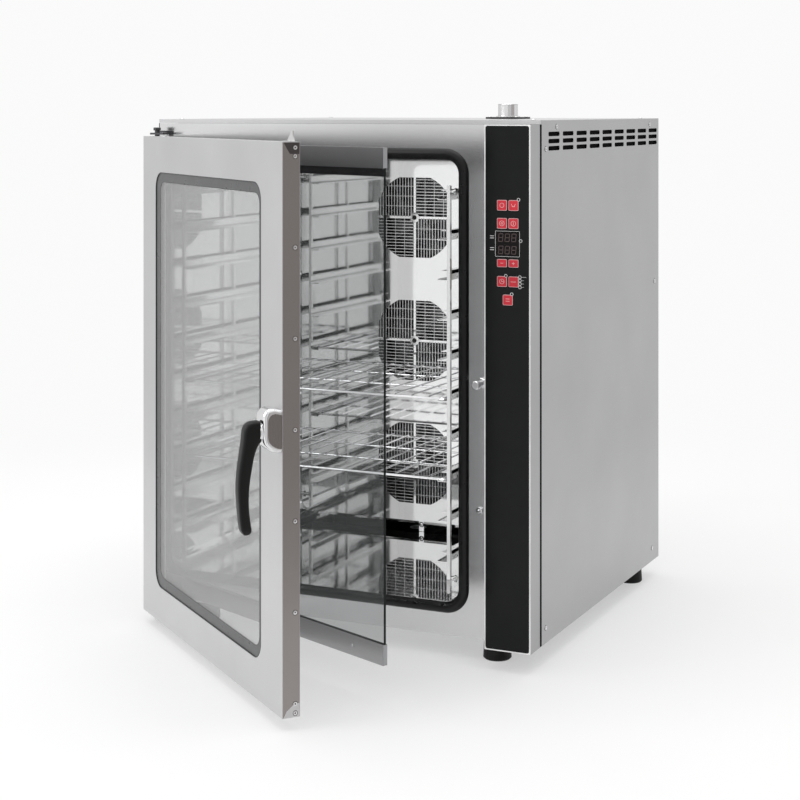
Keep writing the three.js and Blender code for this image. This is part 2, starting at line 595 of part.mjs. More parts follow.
function handleBoss() {
  const bossShape = new THREE.Shape();
  const { x, z, bossR, bossN } = HANDLE;
  bossShape.moveTo(outward(GAP), z - bossR);
  bossShape.quadraticCurveTo(outward(bossN * 0.8), z - bossR + 4, outward(bossN), z - 16);
  bossShape.lineTo(outward(bossN), z + 20);
  bossShape.quadraticCurveTo(outward(bossN * 0.75), z + bossR + 2, outward(bossN * 0.4), z + bossR + 1);
  bossShape.lineTo(outward(GAP), z + bossR);
  bossShape.closePath();
  const boss = sideSlab(bossShape, x - 17, x + 16, 3, 6);
  const bore = rod('y', 6.4, outward(60), outward(-10), x, z, 20);
  place('handle_boss', boss.subtract(bore), CHROME(), leaf);
}

function handleGrip() {
  const { x, z } = HANDLE;
  const grip = new THREE.Shape();
  grip.moveTo(outward(32), z + 17);
  grip.quadraticCurveTo(outward(38), z + 22, outward(50), z + 20);
  grip.quadraticCurveTo(outward(72), z + 14, outward(78), z - 22);
  grip.quadraticCurveTo(outward(92), z - 100, outward(78), z - 162);
  grip.quadraticCurveTo(outward(68), z - 184, outward(58), z - 168);
  grip.quadraticCurveTo(outward(64), z - 90, outward(52), z - 52);
  grip.quadraticCurveTo(outward(44), z - 28, outward(32), z - 18);
  grip.closePath();
  const lever = sideSlab(grip, x - 12, x + 12, 4, 6);
  place('handle_grip', lever.subtract(rod('y', 5.3, outward(46), outward(20), x, z, 16)), BLACK(), leaf);
}

function latchTongue() {
  const { x, z } = HANDLE;
  const spindle = rod('y', 5, outward(44), DOOR_BACK - 6, x, z, 16);
  const cam = box(x - 8, x + 8, DOOR_BACK - 14, DOOR_BACK - 8, z - 34, z + 6);
  const toe = box(x - 8, x + 14, DOOR_BACK - 14, DOOR_BACK - 8, z - 34, z - 27);
  place('latch_tongue', join([spindle, cam, toe]), STEEL(), leaf);
}

function strikeAndStud() {
  const { x, z, r, reach } = STRIKE;
  const flange = rod('y', r + 5, FRONT - 4, FRONT - GAP, x, z, 6);
  const post = rod('y', r - 1.5, FRONT - reach, FRONT - 3, x, z, 20);
  const head = rod('y', r + 1, FRONT - reach, FRONT - reach + 8, x, z, 20);
  place('door_strike', join([flange, post, head]), CHROME());
  const stud = join([rod('y', 4.5, FRONT - 9, FRONT - GAP, SWITCH_STUD.x, SWITCH_STUD.z, 18),
    rod('y', 2.2, FRONT - 11, FRONT - 8, SWITCH_STUD.x, SWITCH_STUD.z, 12)]);
  place('door_switch_stud', stud, CHROME());
}

function innerDoor() {
  const pivot = new THREE.Group();
  pivot.position.set(INNER.pinX, INNER.pinY, 0);
  pivot.rotation.z = INNER_REST;
  const pane = new THREE.Group();
  pane.position.set(-INNER.pinX, -INNER.pinY, 0);
  pivot.add(pane);
  leaf.add(pivot);
  const y0 = INNER.pinY - INNER.t / 2;
  const y1 = INNER.pinY + INNER.t / 2;
  const sheet = { y0: INNER.pinY - 2.5, y1: INNER.pinY + 2.5 };
  const bite = 12;
  const low = INNER.z0 + RAIL_H - bite;
  const high = INNER.z1 - RAIL_H + bite;
  const leafGlass = box(INNER.x0 + 2, INNER.x1 - 1, sheet.y0, sheet.y1, low, high);
  place('inner_glass', leafGlass, glass(0xcfd8d4, 0.3), pane);
  const rail = (name, z0, pinSpan) => {
    const bar = box(INNER.x0, INNER.x1, y0, y1, z0, z0 + RAIL_H);
    const slot = box(INNER.x0 - 1, INNER.x1 + 1, sheet.y0 - GAP, sheet.y1 + GAP, low - GAP, high + GAP);
    const pin = rod('z', INNER_PIN_R, ...pinSpan, INNER.pinX, INNER.pinY, 16);
    place(name, join([cut(bar, [slot]), pin]), STEEL(), pane);
  };
  rail('inner_glass_top_rail', INNER.z1 - RAIL_H, [INNER.z1 - 1, INNER.z1 + 6]);
  rail('inner_glass_bottom_rail', INNER.z0, [INNER.z0 - 6, INNER.z0 + 1]);
}

// ---------------------------------------------------------------- assembly
basePan();
sidePanel('right_side_panel', 1, true);
sidePanel('left_side_panel', -1, false);
topCover();
rearPanel();
frontFrame();
cavityLiner();
insulation();
doorSeal();
fanGuard();
FAN_Z.forEach((z, i) => {
  heaterRing(`heater_ring_${STATION[i]}`, z);
  fanWheel(`fan_wheel_${STATION[i]}`, z);
  fanMotor(`fan_motor_${STATION[i]}`, z);
});
rack('left_rack', -1);
rack('right_rack', 1);
shelf('lower_shelf');
shelf('upper_shelf');
cavityLamp();
steamInjector();
steamOutlet();
drainFitting();
waterInlet();
cableGland();
foot('foot_front_left', -FOOT.frontX, FOOT.frontY);
foot('foot_front_right', FOOT.frontX, FOOT.frontY);
foot('foot_rear_left', -FOOT.rearX, FOOT.rearY);
foot('foot_rear_right', FOOT.rearX, FOOT.rearY);
controlBox();
controlFascia();
circuitBoard();
buttons();
strikeAndStud();
hingeBracket('upper_hinge_bracket', true);
hingeBracket('lower_hinge_bracket', false);
doorFrame();
doorGlass();
glassCatch();
handleBoss();
handleGrip();
latchTongue();
innerDoor();

export default object;
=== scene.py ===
"""Looks for the combi steamer oven: materials, fine parts, camera and studio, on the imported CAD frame."""
import json
import math

import bmesh
import bpy
from mathutils import Matrix, Vector
from mathutils.geometry import tessellate_polygon


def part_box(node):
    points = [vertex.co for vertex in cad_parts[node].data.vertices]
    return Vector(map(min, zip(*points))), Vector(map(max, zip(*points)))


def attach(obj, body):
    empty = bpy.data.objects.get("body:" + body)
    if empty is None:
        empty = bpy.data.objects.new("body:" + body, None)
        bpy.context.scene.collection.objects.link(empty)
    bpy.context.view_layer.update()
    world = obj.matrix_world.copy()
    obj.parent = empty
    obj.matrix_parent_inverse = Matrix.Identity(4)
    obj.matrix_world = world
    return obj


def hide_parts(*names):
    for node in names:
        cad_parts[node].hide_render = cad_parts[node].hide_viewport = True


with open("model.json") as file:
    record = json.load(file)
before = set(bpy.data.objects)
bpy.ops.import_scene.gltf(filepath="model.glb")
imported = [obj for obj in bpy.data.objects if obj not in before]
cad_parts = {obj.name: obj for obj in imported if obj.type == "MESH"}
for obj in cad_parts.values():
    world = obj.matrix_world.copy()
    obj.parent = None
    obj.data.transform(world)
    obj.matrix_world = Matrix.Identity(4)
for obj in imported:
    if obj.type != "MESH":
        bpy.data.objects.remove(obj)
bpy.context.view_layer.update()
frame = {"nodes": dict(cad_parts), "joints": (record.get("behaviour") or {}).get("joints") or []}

MM = 0.001
FORWARD = (0, -1, 0)
UP = (0, 0, 1)
NODES = frame["nodes"]
JOINTS = {joint["name"]: joint for joint in frame["joints"]}


def new_object(name, data):
    """Makes an object and puts it in the scene."""
    made = bpy.data.objects.new(name, data)
    bpy.context.scene.collection.objects.link(made)
    return made


def mm(*pairs):
    """Pairs of sizes in mm, as pairs in metres."""
    return [(a * MM, b * MM) for a, b in pairs]


# ---------- places read from the frame
def turn_about(point, axis, degrees):
    """The matrix that turns about an axis through a point."""
    point = Vector(point)
    spin = Matrix.Rotation(math.radians(degrees), 4, Vector(axis))
    return Matrix.Translation(point) @ spin @ Matrix.Translation(-point)


def opening_of(name):
    """How far a joint has turned from its closed limit to the rest pose, as a matrix."""
    joint = JOINTS[name]
    return turn_about(joint["pos_m"], joint["axis"], -joint["range_deg"][0])


DOOR_REST = opening_of("door_hinge")
INNER_REST = opening_of("inner_door_hinge") @ DOOR_REST
REST = {"door": DOOR_REST, "handle": DOOR_REST, "inner_door": INNER_REST}


def closed_box(node, rest):
    """A door node's box with the door shut."""
    back = rest.inverted()
    points = [back @ v.co for v in NODES[node].data.vertices]
    low = Vector(min(p[i] for p in points) for i in range(3))
    high = Vector(max(p[i] for p in points) for i in range(3))
    return low, high


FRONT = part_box("front_frame")[0].y
LINER_LOW, LINER_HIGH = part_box("cavity_liner")
GUARD_LOW, GUARD_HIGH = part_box("fan_guard")
DOOR_LOW, DOOR_HIGH = closed_box("door_frame", DOOR_REST)
DOOR_FACE = DOOR_LOW.y
INNER_LOW, INNER_HIGH = closed_box("inner_glass", INNER_REST)
TOP_RAIL_LOW, TOP_RAIL_HIGH = closed_box("inner_glass_top_rail", INNER_REST)
LOW_RAIL_LOW, LOW_RAIL_HIGH = closed_box("inner_glass_bottom_rail", INNER_REST)


# ---------- material building
MAT = {}


def add_node(tree, kind, inputs=None, **settings):
    """Adds a node to a shader tree; kind is its type without "ShaderNode"."""
    node = tree.nodes.new("ShaderNode" + kind)
    for key, value in settings.items():
        setattr(node, key, value)
    for key, value in (inputs or {}).items():
        node.inputs[key].default_value = value
    return node


class Nodes:
    """A new material, kept in MAT by its name, and a short way to write its node tree."""

    def __init__(self, name):
        material = bpy.data.materials.new(name)
        MAT[name] = material
        material.use_nodes = True
        self.tree = material.node_tree
        self.shader = self.tree.nodes["Principled BSDF"]
        self.output = self.tree.nodes["Material Output"]

    def add(self, kind, inputs=None, **settings):
        return add_node(self.tree, kind, inputs, **settings)

    def link(self, source, target):
        self.tree.links.new(source, target)

    def coordinates(self, scale):
        where = self.add("TexCoord")
        mapping = self.add("Mapping", {"Scale": scale})
        self.link(where.outputs["Object"], mapping.inputs["Vector"])
        return mapping.outputs["Vector"]

    def noise(self, scale, detail=2.0, stretch=(1, 1, 1)):
        texture = self.add("TexNoise", {"Scale": scale, "Detail": detail})
        self.link(self.coordinates(stretch), texture.inputs["Vector"])
        return texture.outputs["Fac"]

    def spread(self, source, low, high):
        """Maps a 0..1 texture to low..high."""
        remap = self.add("MapRange", {"From Min": 0.25, "From Max": 0.75, "To Min": low, "To Max": high})
        self.link(source, remap.inputs["Value"])
        return remap.outputs["Result"]

    def tint(self, source, dark, light):
        ramp = self.add("ValToRGB")
        ramp.color_ramp.elements[0].position = 0.3
        ramp.color_ramp.elements[1].position = 0.7
        ramp.color_ramp.elements[0].color = (*dark, 1)
        ramp.color_ramp.elements[1].color = (*light, 1)
        self.link(source, ramp.inputs["Fac"])
        self.link(ramp.outputs["Color"], self.shader.inputs["Base Color"])

    def bump(self, source, strength, distance):
        node = self.add("Bump", {"Strength": strength, "Distance": distance})
        self.link(source, node.inputs["Height"])
        self.link(node.outputs["Normal"], self.shader.inputs["Normal"])

    def mix(self, factor, first, second):
        """Blends two shaders by a factor, and returns the blend."""
        node = self.add("MixShader")
        self.link(factor, node.inputs["Fac"])
        self.link(first, node.inputs[1])
        self.link(second, node.inputs[2])
        return node.outputs["Shader"]

    def set(self, **values):
        for key, value in values.items():
            self.shader.inputs[key.replace("_", " ")].default_value = value


def shade(colour, factor):
    return tuple(min(1.0, c * factor) for c in colour)


def brushed(name, colour, rough, grain, depth=0.00002):
    """Brushed stainless sheet. grain is the stretch of the texture: small along the brush lines."""
    m = Nodes(name)
    m.set(Metallic=1.0)
    lines = m.noise(1.0, 3.0, grain)
    clouds = m.noise(5.0, 3.0)
    m.tint(clouds, shade(colour, 0.96), shade(colour, 1.04))
    blend = m.add("Math", {1: 0.75}, operation="MULTIPLY_ADD")
    m.link(lines, blend.inputs[0])
    thin = m.add("Math", {1: 0.25}, operation="MULTIPLY")
    m.link(clouds, thin.inputs[0])
    m.link(thin.outputs[0], blend.inputs[2])
    m.link(m.spread(blend.outputs[0], rough * 0.93, rough * 1.07), m.shader.inputs["Roughness"])
    m.bump(lines, 0.05, depth)


def polished(name, colour, rough, waviness=0.15):
    """Mirror steel or chrome with a faint waviness."""
    m = Nodes(name)
    m.set(Metallic=1.0)
    clouds = m.noise(4.0, 1.0)
    m.tint(clouds, shade(colour, 0.97), colour)
    m.link(m.spread(m.noise(12.0, 2.0), rough * 0.8, rough * 1.3), m.shader.inputs["Roughness"])
    m.bump(clouds, waviness, 0.0006)


def moulded(name, colour, rough, grain=900.0, depth=0.00003, coat=0.0, strength=0.3, specular=0.5):
    """Moulded plastic, rubber or paint with a fine grain."""
    m = Nodes(name)
    clouds = m.noise(22.0, 3.0)
    m.tint(clouds, shade(colour, 0.9), shade(colour, 1.1))
    m.link(m.spread(m.noise(60.0, 2.0), rough * 0.88, rough * 1.12), m.shader.inputs["Roughness"])
    m.bump(m.noise(grain, 2.0), strength, depth)
    m.set(Coat_Weight=coat, Coat_Roughness=0.08, Specular_IOR_Level=specular)


def clear_glass(name, colour, body, mirror):
    """See-through flat glass with a little body colour and a mirror that grows at a glancing angle."""
    m = Nodes(name)
    m.set(Base_Color=(*colour, 1), Metallic=0.0, IOR=1.5)
    m.link(m.spread(m.noise(2.5, 2.0), 0.02, 0.05), m.shader.inputs["Roughness"])
    m.bump(m.noise(1.6, 1.0), 0.05, 0.0006)
    through = m.add("BsdfTransparent", {"Color": (0.955, 0.96, 0.96, 1)})
    facing = m.add("LayerWeight", {"Blend": 0.5})
    glance = m.add("Math", {1: 4.0}, operation="POWER")
    m.link(facing.outputs["Facing"], glance.inputs[0])
    amount = m.add("MapRange", {"To Min": body, "To Max": mirror})
    m.link(glance.outputs["Value"], amount.inputs["Value"])
    blend = m.mix(amount.outputs["Result"], through.outputs["BSDF"], m.shader.outputs["BSDF"])
    m.link(blend, m.output.inputs["Surface"])


def glowing(name, colour, strength):
    """A surface that gives off a little light."""
    m = Nodes(name)
    m.tint(m.noise(80.0, 1.0), shade(colour, 0.9), colour)
    m.set(Roughness=0.4, Emission_Color=(*colour, 1), Emission_Strength=strength)


ALONG_Y = (900, 3, 900)
ALONG_Z = (900, 900, 3)
ALONG_X = (3, 900, 900)
STEEL = (0.62, 0.62, 0.625)
brushed("side_steel", (0.485, 0.485, 0.49), 0.34, ALONG_Y)
brushed("front_steel", (0.70, 0.70, 0.705), 0.2, ALONG_Z)
brushed("door_steel", (0.66, 0.66, 0.665), 0.36, ALONG_Z)
brushed("top_steel", STEEL, 0.3, ALONG_X)
# edge_painted_reflection: steel painted brownish dark, a painted reflection of the dark studio in the door's
# free edge
brushed("edge_painted_reflection", (0.36, 0.335, 0.325), 0.24, ALONG_Z)
brushed("guard_steel", (0.72, 0.72, 0.72), 0.2, (200, 200, 200), 0.00001)
polished("guard_sheet", (0.86, 0.86, 0.86), 0.045, 0.9)
# painted_highlight_white: near-white plastic standing in for the bright highlight lines on the column's steel
# edges
moulded("painted_highlight_white", (0.92, 0.92, 0.92), 0.3, 700.0, 0.00001)
brushed("column_steel", (0.43, 0.43, 0.435), 0.3, ALONG_Z)
# matte_painted_shade: dead black standing in for shade in gaps, behind vent slots and on the rack webs
moulded("matte_painted_shade", (0.004, 0.004, 0.004), 0.9, specular=0.05)
# cheek_painted_reflection: brownish dark steel, a painted reflection of the dark studio on the handle boss's
# flat cheek
brushed("cheek_painted_reflection", (0.285, 0.265, 0.257), 0.28, ALONG_Z)
brushed("dark_zinc", (0.10, 0.10, 0.105), 0.35, (60, 60, 60), 0.00005)
# painted_shade: near-black standing in for shade in recesses, round screw heads, in the fan hubs and in the
# fan bay
moulded("painted_shade", (0.016, 0.015, 0.014), 0.6)
polished("rack_steel", (0.80, 0.80, 0.80), 0.12, 0.1)
brushed("rail_steel", (0.42, 0.42, 0.425), 0.24, ALONG_X)
moulded("handle_black", (0.003, 0.003, 0.003), 0.34, 700.0, 0.000006, 0.0, 0.1, 0.3)
moulded("pale_key", (0.92, 0.60, 0.60), 0.4)
brushed("zinc", (0.42, 0.43, 0.44), 0.45, (60, 60, 60), 0.00005)
polished("mirror", (0.72, 0.72, 0.72), 0.035, 0.5)
polished("satin_mirror", (0.78, 0.78, 0.78), 0.16, 0.2)
polished("chrome", (0.86, 0.86, 0.87), 0.05)
polished("wire_chrome", (0.82, 0.82, 0.83), 0.12)
moulded("gloss_black", (0.006, 0.0068, 0.0066), 0.14, 300.0, 0.00001, 0.0, 0.05, 0.17)
moulded("black_plastic", (0.022, 0.022, 0.024), 0.42)
moulded("rubber", (0.006, 0.006, 0.006), 0.30, 200.0, 0.000004, strength=0.05, specular=0.3)
moulded("foot_rubber", (0.006, 0.006, 0.006), 0.5, specular=0.25)
moulded("red_key", (0.70, 0.045, 0.065), 0.34, 700.0, 0.00001, 0.0, 0.3, 0.2)
moulded("pale_print", (0.82, 0.82, 0.82), 0.4)
moulded("display_dark", (0.005, 0.003, 0.003), 0.12, 300.0, 0.00001, 0.0, 0.05, 0.14)
# digit_painted_glow: unlit display segments given a faint painted glow
glowing("digit_painted_glow", (0.085, 0.055, 0.055), 0.05)
moulded("border_grey", (0.068, 0.069, 0.071), 0.3, 600.0, 0.000002, strength=0.05)
moulded("border_black", (0.01, 0.01, 0.011), 0.2, 600.0, 0.00001)
clear_glass("outer_glass", (0.54, 0.54, 0.54), 0.28, 0.8)
clear_glass("inner_glass", (0.24, 0.25, 0.25), 0.14, 0.8)
moulded("glass_edge", (0.004, 0.007, 0.006), 0.2, specular=0.2)
moulded("wool", (0.62, 0.55, 0.34), 0.95, 120.0, 0.002, 0.0, 0.9)
moulded("heater", (0.035, 0.030, 0.028), 0.5)
brushed("wheel", (0.16, 0.16, 0.165), 0.35, (120, 120, 120))
moulded("motor", (0.04, 0.045, 0.05), 0.5)
clear_glass("lamp", (0.85, 0.82, 0.74), 0.5, 0.9)
moulded("valve", (0.58, 0.57, 0.50), 0.45)
moulded("board", (0.02, 0.14, 0.06), 0.4)
# dark_paint_and_slot_shade: dark paint on the outlet base plate, and painted shade for the door's top vent
# slots
moulded("dark_paint_and_slot_shade", (0.03, 0.03, 0.032), 0.45)
# corner_painted_shade: painted shade for the door edge's upper corner tab, darker than the lower tab of the
# same steel
moulded("corner_painted_shade", (0.05, 0.042, 0.042), 0.35)


# ---------- mesh building
class Shape:
    """Collects closed solids in one mesh, in metres. use() picks the material of what is added next."""

    def __init__(self, material):
        self.bm = bmesh.new()
        self.materials = [material]
        self.current = 0

    def use(self, material):
        if material not in self.materials:
            self.materials.append(material)
        self.current = self.materials.index(material)
        return self

    def face(self, corners):
        self.bm.faces.new(corners).material_index = self.current

    def box(self, low, high):
        corners = [(x, y, z) for x in (low[0], high[0]) for y in (low[1], high[1]) for z in (low[2], high[2])]
        v = [self.bm.verts.new(c) for c in corners]
        for side in ((0, 1, 3, 2), (4, 6, 7, 5), (0, 4, 5, 1), (2, 3, 7, 6), (0, 2, 6, 4), (1, 5, 7, 3)):
            self.face([v[i] for i in side])

    def loft(self, rings, closed=False):
        """Skins rings of points, in order; the ends are capped unless the loft closes on itself."""
        made = [[self.bm.verts.new(p) for p in ring] for ring in rings]
        count = len(made[0])
        pairs = list(zip(made, made[1:]))
        if closed:
            pairs.append((made[-1], made[0]))
        for a, b in pairs:
            for i in range(count):
                j = (i + 1) % count
                self.face((a[i], a[j], b[j], b[i]))
        if not closed:
            self.face(list(reversed(made[0])))
            self.face(made[-1])
        return self

    def tube(self, points, radius, sides=10, closed=False):
        """A round wire through the points."""
        points = [Vector(p) for p in points]
        count = len(points)
        rings = []
        side = None
        for i, p in enumerate(points):
            ahead = points[(i + 1) % count] if closed or i + 1 < count else p
            behind = points[i - 1] if closed or i else p
            along = (ahead - behind).normalized()
            if side is None:
                side = along.orthogonal().normalized()
            side = (side - along * side.dot(along)).normalized()
            up = along.cross(side)
            angles = [2 * math.pi * k / sides for k in range(sides)]
            rings.append([p + (side * math.cos(a) + up * math.sin(a)) * radius for a in angles])
        return self.loft(rings, closed)

    def lathe(self, profile, centre, axis, sides=24):
        """Turns a profile of (radius, height) pairs about an axis through centre."""
        axis = Vector(axis).normalized()
        side = axis.orthogonal().normalized()
        up = axis.cross(side)
        angles = [2 * math.pi * k / sides for k in range(sides)]
        rings = []
        for radius, height in profile:
            middle = Vector(centre) + axis * height
            rings.append([middle + (side * math.cos(a) + up * math.sin(a)) * radius for a in angles])
        return self.loft(rings)

    def plate(self, outline, holes, place, thickness):
        """A flat plate with holes. place maps (a, b, depth) to a point; outlines are lists of (a, b)."""
        loops = [outline, *holes]
        flat = [(a, b) for loop in loops for a, b in loop]
        triangles = tessellate_polygon([[Vector((a, b, 0)) for a, b in loop] for loop in loops])
        front = [self.bm.verts.new(place(a, b, 0)) for a, b in flat]
        back = [self.bm.verts.new(place(a, b, thickness)) for a, b in flat]
        for t in triangles:
            self.face([front[i] for i in t])
            self.face([back[i] for i in reversed(t)])
        start = 0
        for loop in loops:
            count = len(loop)
            for i in range(count):
                j = (i + 1) % count
                self.face((front[start + i], front[start + j], back[start + j], back[start + i]))
            start += count

    def done(self, name, body, bevel=0.0, segments=2, stands_for=None):
        """Makes the piece. What rides on the door is drawn shut, and is swung open here."""
        if body in REST:
            self.bm.transform(REST[body])
        bmesh.ops.recalc_face_normals(self.bm, faces=self.bm.faces)
        mesh = bpy.data.meshes.new(name)
        self.bm.to_mesh(mesh)
        self.bm.free()
        piece = new_object(name, mesh)
        for material in self.materials:
            mesh.materials.append(MAT[material])
        dress(piece, bevel, segments)
        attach(piece, body)
        if stands_for:
            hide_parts(stands_for)
        return piece


def dress(piece, bevel=0.0, segments=2):
    """Rounds a piece's sharp edges and shades its round faces smooth."""
    if bevel:
        rounding = piece.modifiers.new("edges", "BEVEL")
        rounding.width = bevel
        rounding.segments = segments
        rounding.limit_method = "ANGLE"
        rounding.angle_limit = math.radians(40)
        weighting = piece.modifiers.new("flat_faces", "WEIGHTED_NORMAL")
        weighting.keep_sharp = True
    piece.data.shade_smooth()
    piece.data.set_sharp_from_angle(angle=math.radians(35))


def arc(cx, cy, radius, start, end, steps):
    span = math.radians(end - start)
    begin = math.radians(start)
    angles = [begin + span * i / steps for i in range(steps + 1)]
    return [(cx + radius * math.cos(a), cy + radius * math.sin(a)) for a in angles]


def rounded(a0, a1, b0, b1, r, steps=8):
    """A rounded rectangle as a list of points."""
    return (arc(a1 - r, b0 + r, r, -90, 0, steps) + arc(a1 - r, b1 - r, r, 0, 90, steps)
            + arc(a0 + r, b1 - r, r, 90, 180, steps) + arc(a0 + r, b0 + r, r, 180, 270, steps))


def inset(low, high, gap, radius, steps=8):
    """A rounded outline in X and Z, a gap inside a box's own."""
    return rounded(low.x + gap, high.x - gap, low.z + gap, high.z - gap, radius, steps)


def facing_front(y):
    """Places a plate in X and Z at this Y, its thickness going back."""
    return lambda a, b, depth: Vector((a, y + depth, b))


def facing_right(x):
    """Places a plate in Y and Z at this X, its thickness going inward."""
    return lambda a, b, depth: Vector((x - depth, a, b))


def facing_up(z):
    """Places a plate in X and Y at this Z, its thickness going down."""
    return lambda a, b, depth: Vector((a, b, z - depth))


def smooth_curve(points, steps):
    """A Catmull-Rom curve through the points."""
    points = [Vector(p) for p in points]
    ends = [points[0] * 2 - points[1], *points, points[-1] * 2 - points[-2]]
    curve = []
    for i in range(1, len(ends) - 2):
        a, b, c, d = ends[i - 1:i + 3]
        for k in range(steps):
            t = k / steps
            curve.append(0.5 * (2 * b + (c - a) * t + (2 * a - 5 * b + 4 * c - d) * t * t
                                + (3 * b - a - 3 * c + d) * t ** 3))
    curve.append(points[-1])
    return curve


def screw(shape, centre, axis, radius=4 * MM, height=2 * MM):
    """A pan-head screw standing on a surface, with painted shade: a black disc in its recess and a black ring
    round its foot.
    """
    head = shape.materials[shape.current]
    shape.use("painted_shade").lathe([(radius * 1.25, -0.3 * MM), (radius * 1.25, 0.15 * MM)], centre, axis, 16)
    profile = [(radius, 0), (radius, height * 0.4), (radius * 0.8, height * 0.82), (radius * 0.5, height),
               (radius * 0.42, height), (radius * 0.36, height * 0.5)]
    shape.use(head).lathe(profile, centre, axis, 16)
    shape.use("painted_shade").lathe([(radius * 0.40, height * 0.5), (radius * 0.40, height * 0.62)], centre, axis, 6)
    shape.use(head)


def hex_bolt(shape, centre, axis, radius, height):
    """A six-sided bolt head standing on a surface."""
    shape.lathe([(radius, -0.3 * MM), (radius, height * 0.85), (radius * 0.86, height)], centre, axis, 6)


# ---------- cooking chamber
def middle_of(node):
    """The middle of a CAD node's box."""
    low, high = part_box(node)
    return (low + high) / 2


LEVELS = ("lower", "middle", "upper")
FAN_X = middle_of("fan_motor_upper").x
FAN_Z = [middle_of(f"fan_motor_{level}").z for level in LEVELS]
GRILLE = {"radius": 100 * MM, "flat": 92 * MM, "cross": 2.8 * MM, "pitch": 7.1 * MM, "bar": 1.5 * MM,
          "tie": 23 * MM}
GUARD_SHEET = 0.6 * MM


def grille_reach(offset):
    """How far a grille's opening reaches at this distance from its centre line."""
    return min(math.sqrt(max(0.0, GRILLE["radius"] ** 2 - offset ** 2)), GRILLE["flat"])


def quadrant(z0, sx, sz):
    """One quarter of a round grille opening, as an outline."""
    cross = GRILLE["cross"]
    points = [(cross, cross), (grille_reach(cross), cross)]
    corner = math.degrees(math.acos(GRILLE["flat"] / GRILLE["radius"]))
    points += arc(0, 0, GRILLE["radius"], corner, 90 - corner, 8)
    points.append((cross, grille_reach(cross)))
    return [(FAN_X + sx * a, z0 + sz * b) for a, b in points]


def grille_bars(shape, z0, sx, sz, upright):
    """The thin bars and ties across one quarter of a grille."""
    y = (GUARD_LOW.y, GUARD_LOW.y + GUARD_SHEET)
    cross = GRILLE["cross"]

    def bar(offset, half, is_upright, recess=0.0):
        reach = grille_reach(offset + half)
        if reach < cross + 2 * half:
            return
        width = (offset - half, offset + half)
        length = (cross * 0.5, reach + 0.5 * MM)
        a, b = (width, length) if is_upright else (length, width)
        a = sorted(sx * value for value in a)
        b = sorted(sz * value for value in b)
        shape.box((FAN_X + a[0], y[0] + recess, z0 + b[0]), (FAN_X + a[1], y[1] - recess, z0 + b[1]))

    offset = cross + GRILLE["pitch"] - GRILLE["bar"] / 2
    while offset < GRILLE["flat"]:
        bar(offset, GRILLE["bar"] / 2, upright)
        offset += GRILLE["pitch"]
    offset = cross + GRILLE["tie"]
    while offset < GRILLE["flat"] - 4 * MM:
        bar(offset, 0.5 * MM, not upright, 0.1 * MM)
        offset += GRILLE["tie"]


def fan_guard():
    """The sheet in front of the fans with its three grilles, its fixings and, behind it, black sheets as
    painted shade in the fan bay.
    """
    low, high = GUARD_LOW, GUARD_HIGH
    shape = Shape("guard_sheet")
    holes = [quadrant(z, sx, sz) for z in FAN_Z for sx in (-1, 1) for sz in (-1, 1)]
    shape.plate(inset(low, high, 0, 6 * MM), holes, facing_front(low.y), GUARD_SHEET)
    front = low.y + GUARD_SHEET
    corner = 7 * MM
    for x in (low.x, high.x - GUARD_SHEET):
        shape.box((x, front, low.z + corner), (x + GUARD_SHEET, high.y, high.z - corner))
    for z in (high.z - GUARD_SHEET, low.z):
        shape.box((low.x + corner, front, z), (high.x - corner, high.y, z + GUARD_SHEET))
    shape.use("guard_steel")
    for z in FAN_Z:
        for sx, sz, upright in ((-1, 1, True), (1, -1, True), (1, 1, False), (-1, -1, False)):
            grille_bars(shape, z, sx, sz, upright)
        hub = (FAN_X, low.y, z)
        shape.lathe(mm((12, 0.2), (12, 1.5), (10, 2)), hub, FORWARD, 8)
        # painted shade: a black disc in the middle of each hub
        shape.use("painted_shade")
        shape.lathe(mm((5.5, 1.8), (5.5, 2.3)), hub, FORWARD, 20)
        shape.use("guard_steel")
    shape.done("fan_guard_fine", "oven", stands_for="fan_guard")
    knobs = Shape("chrome")
    between = [(FAN_Z[k] + FAN_Z[k + 1]) / 2 for k in (0, 1)]
    for x in (low.x + 18 * MM, high.x - 18 * MM):
        for z in (low.z + 14 * MM, *between, high.z - 14 * MM):
            hex_bolt(knobs, (x, low.y, z), FORWARD, 5 * MM, 4 * MM)
    floor = LINER_LOW.z + 2 * MM
    knobs.box((FAN_X + 10 * MM, low.y + 2 * MM, floor), (FAN_X + 22 * MM, low.y + 4 * MM, low.z + 12 * MM))
    screw(knobs, (FAN_X + 16 * MM, low.y + 2 * MM, low.z - 8 * MM), FORWARD, 5 * MM, 3 * MM)
    knobs.done("guard_fixings", "oven", bevel=0.3 * MM)
    # painted shade: black sheets at the back and sides of the fan bay, so the grille openings read dark
    painted_shade = Shape("painted_shade")
    back = LINER_HIGH.y - 3 * MM
    painted_shade.box((low.x + 3 * MM, back - 1 * MM, low.z + 4 * MM), (high.x - 3 * MM, back, high.z - 4 * MM))
    for x0 in (low.x + 2 * MM, high.x - 3 * MM):
        painted_shade.box((x0, high.y + 2 * MM, low.z + 4 * MM), (x0 + 1 * MM, back - 1.2 * MM, high.z - 4 * MM))
    painted_shade.done("fan_bay_shade", "oven")


RACK = {"levels": 10, "lowest": 136 * MM, "pitch": 80 * MM, "sheet": 1.4 * MM, "holes": 12}


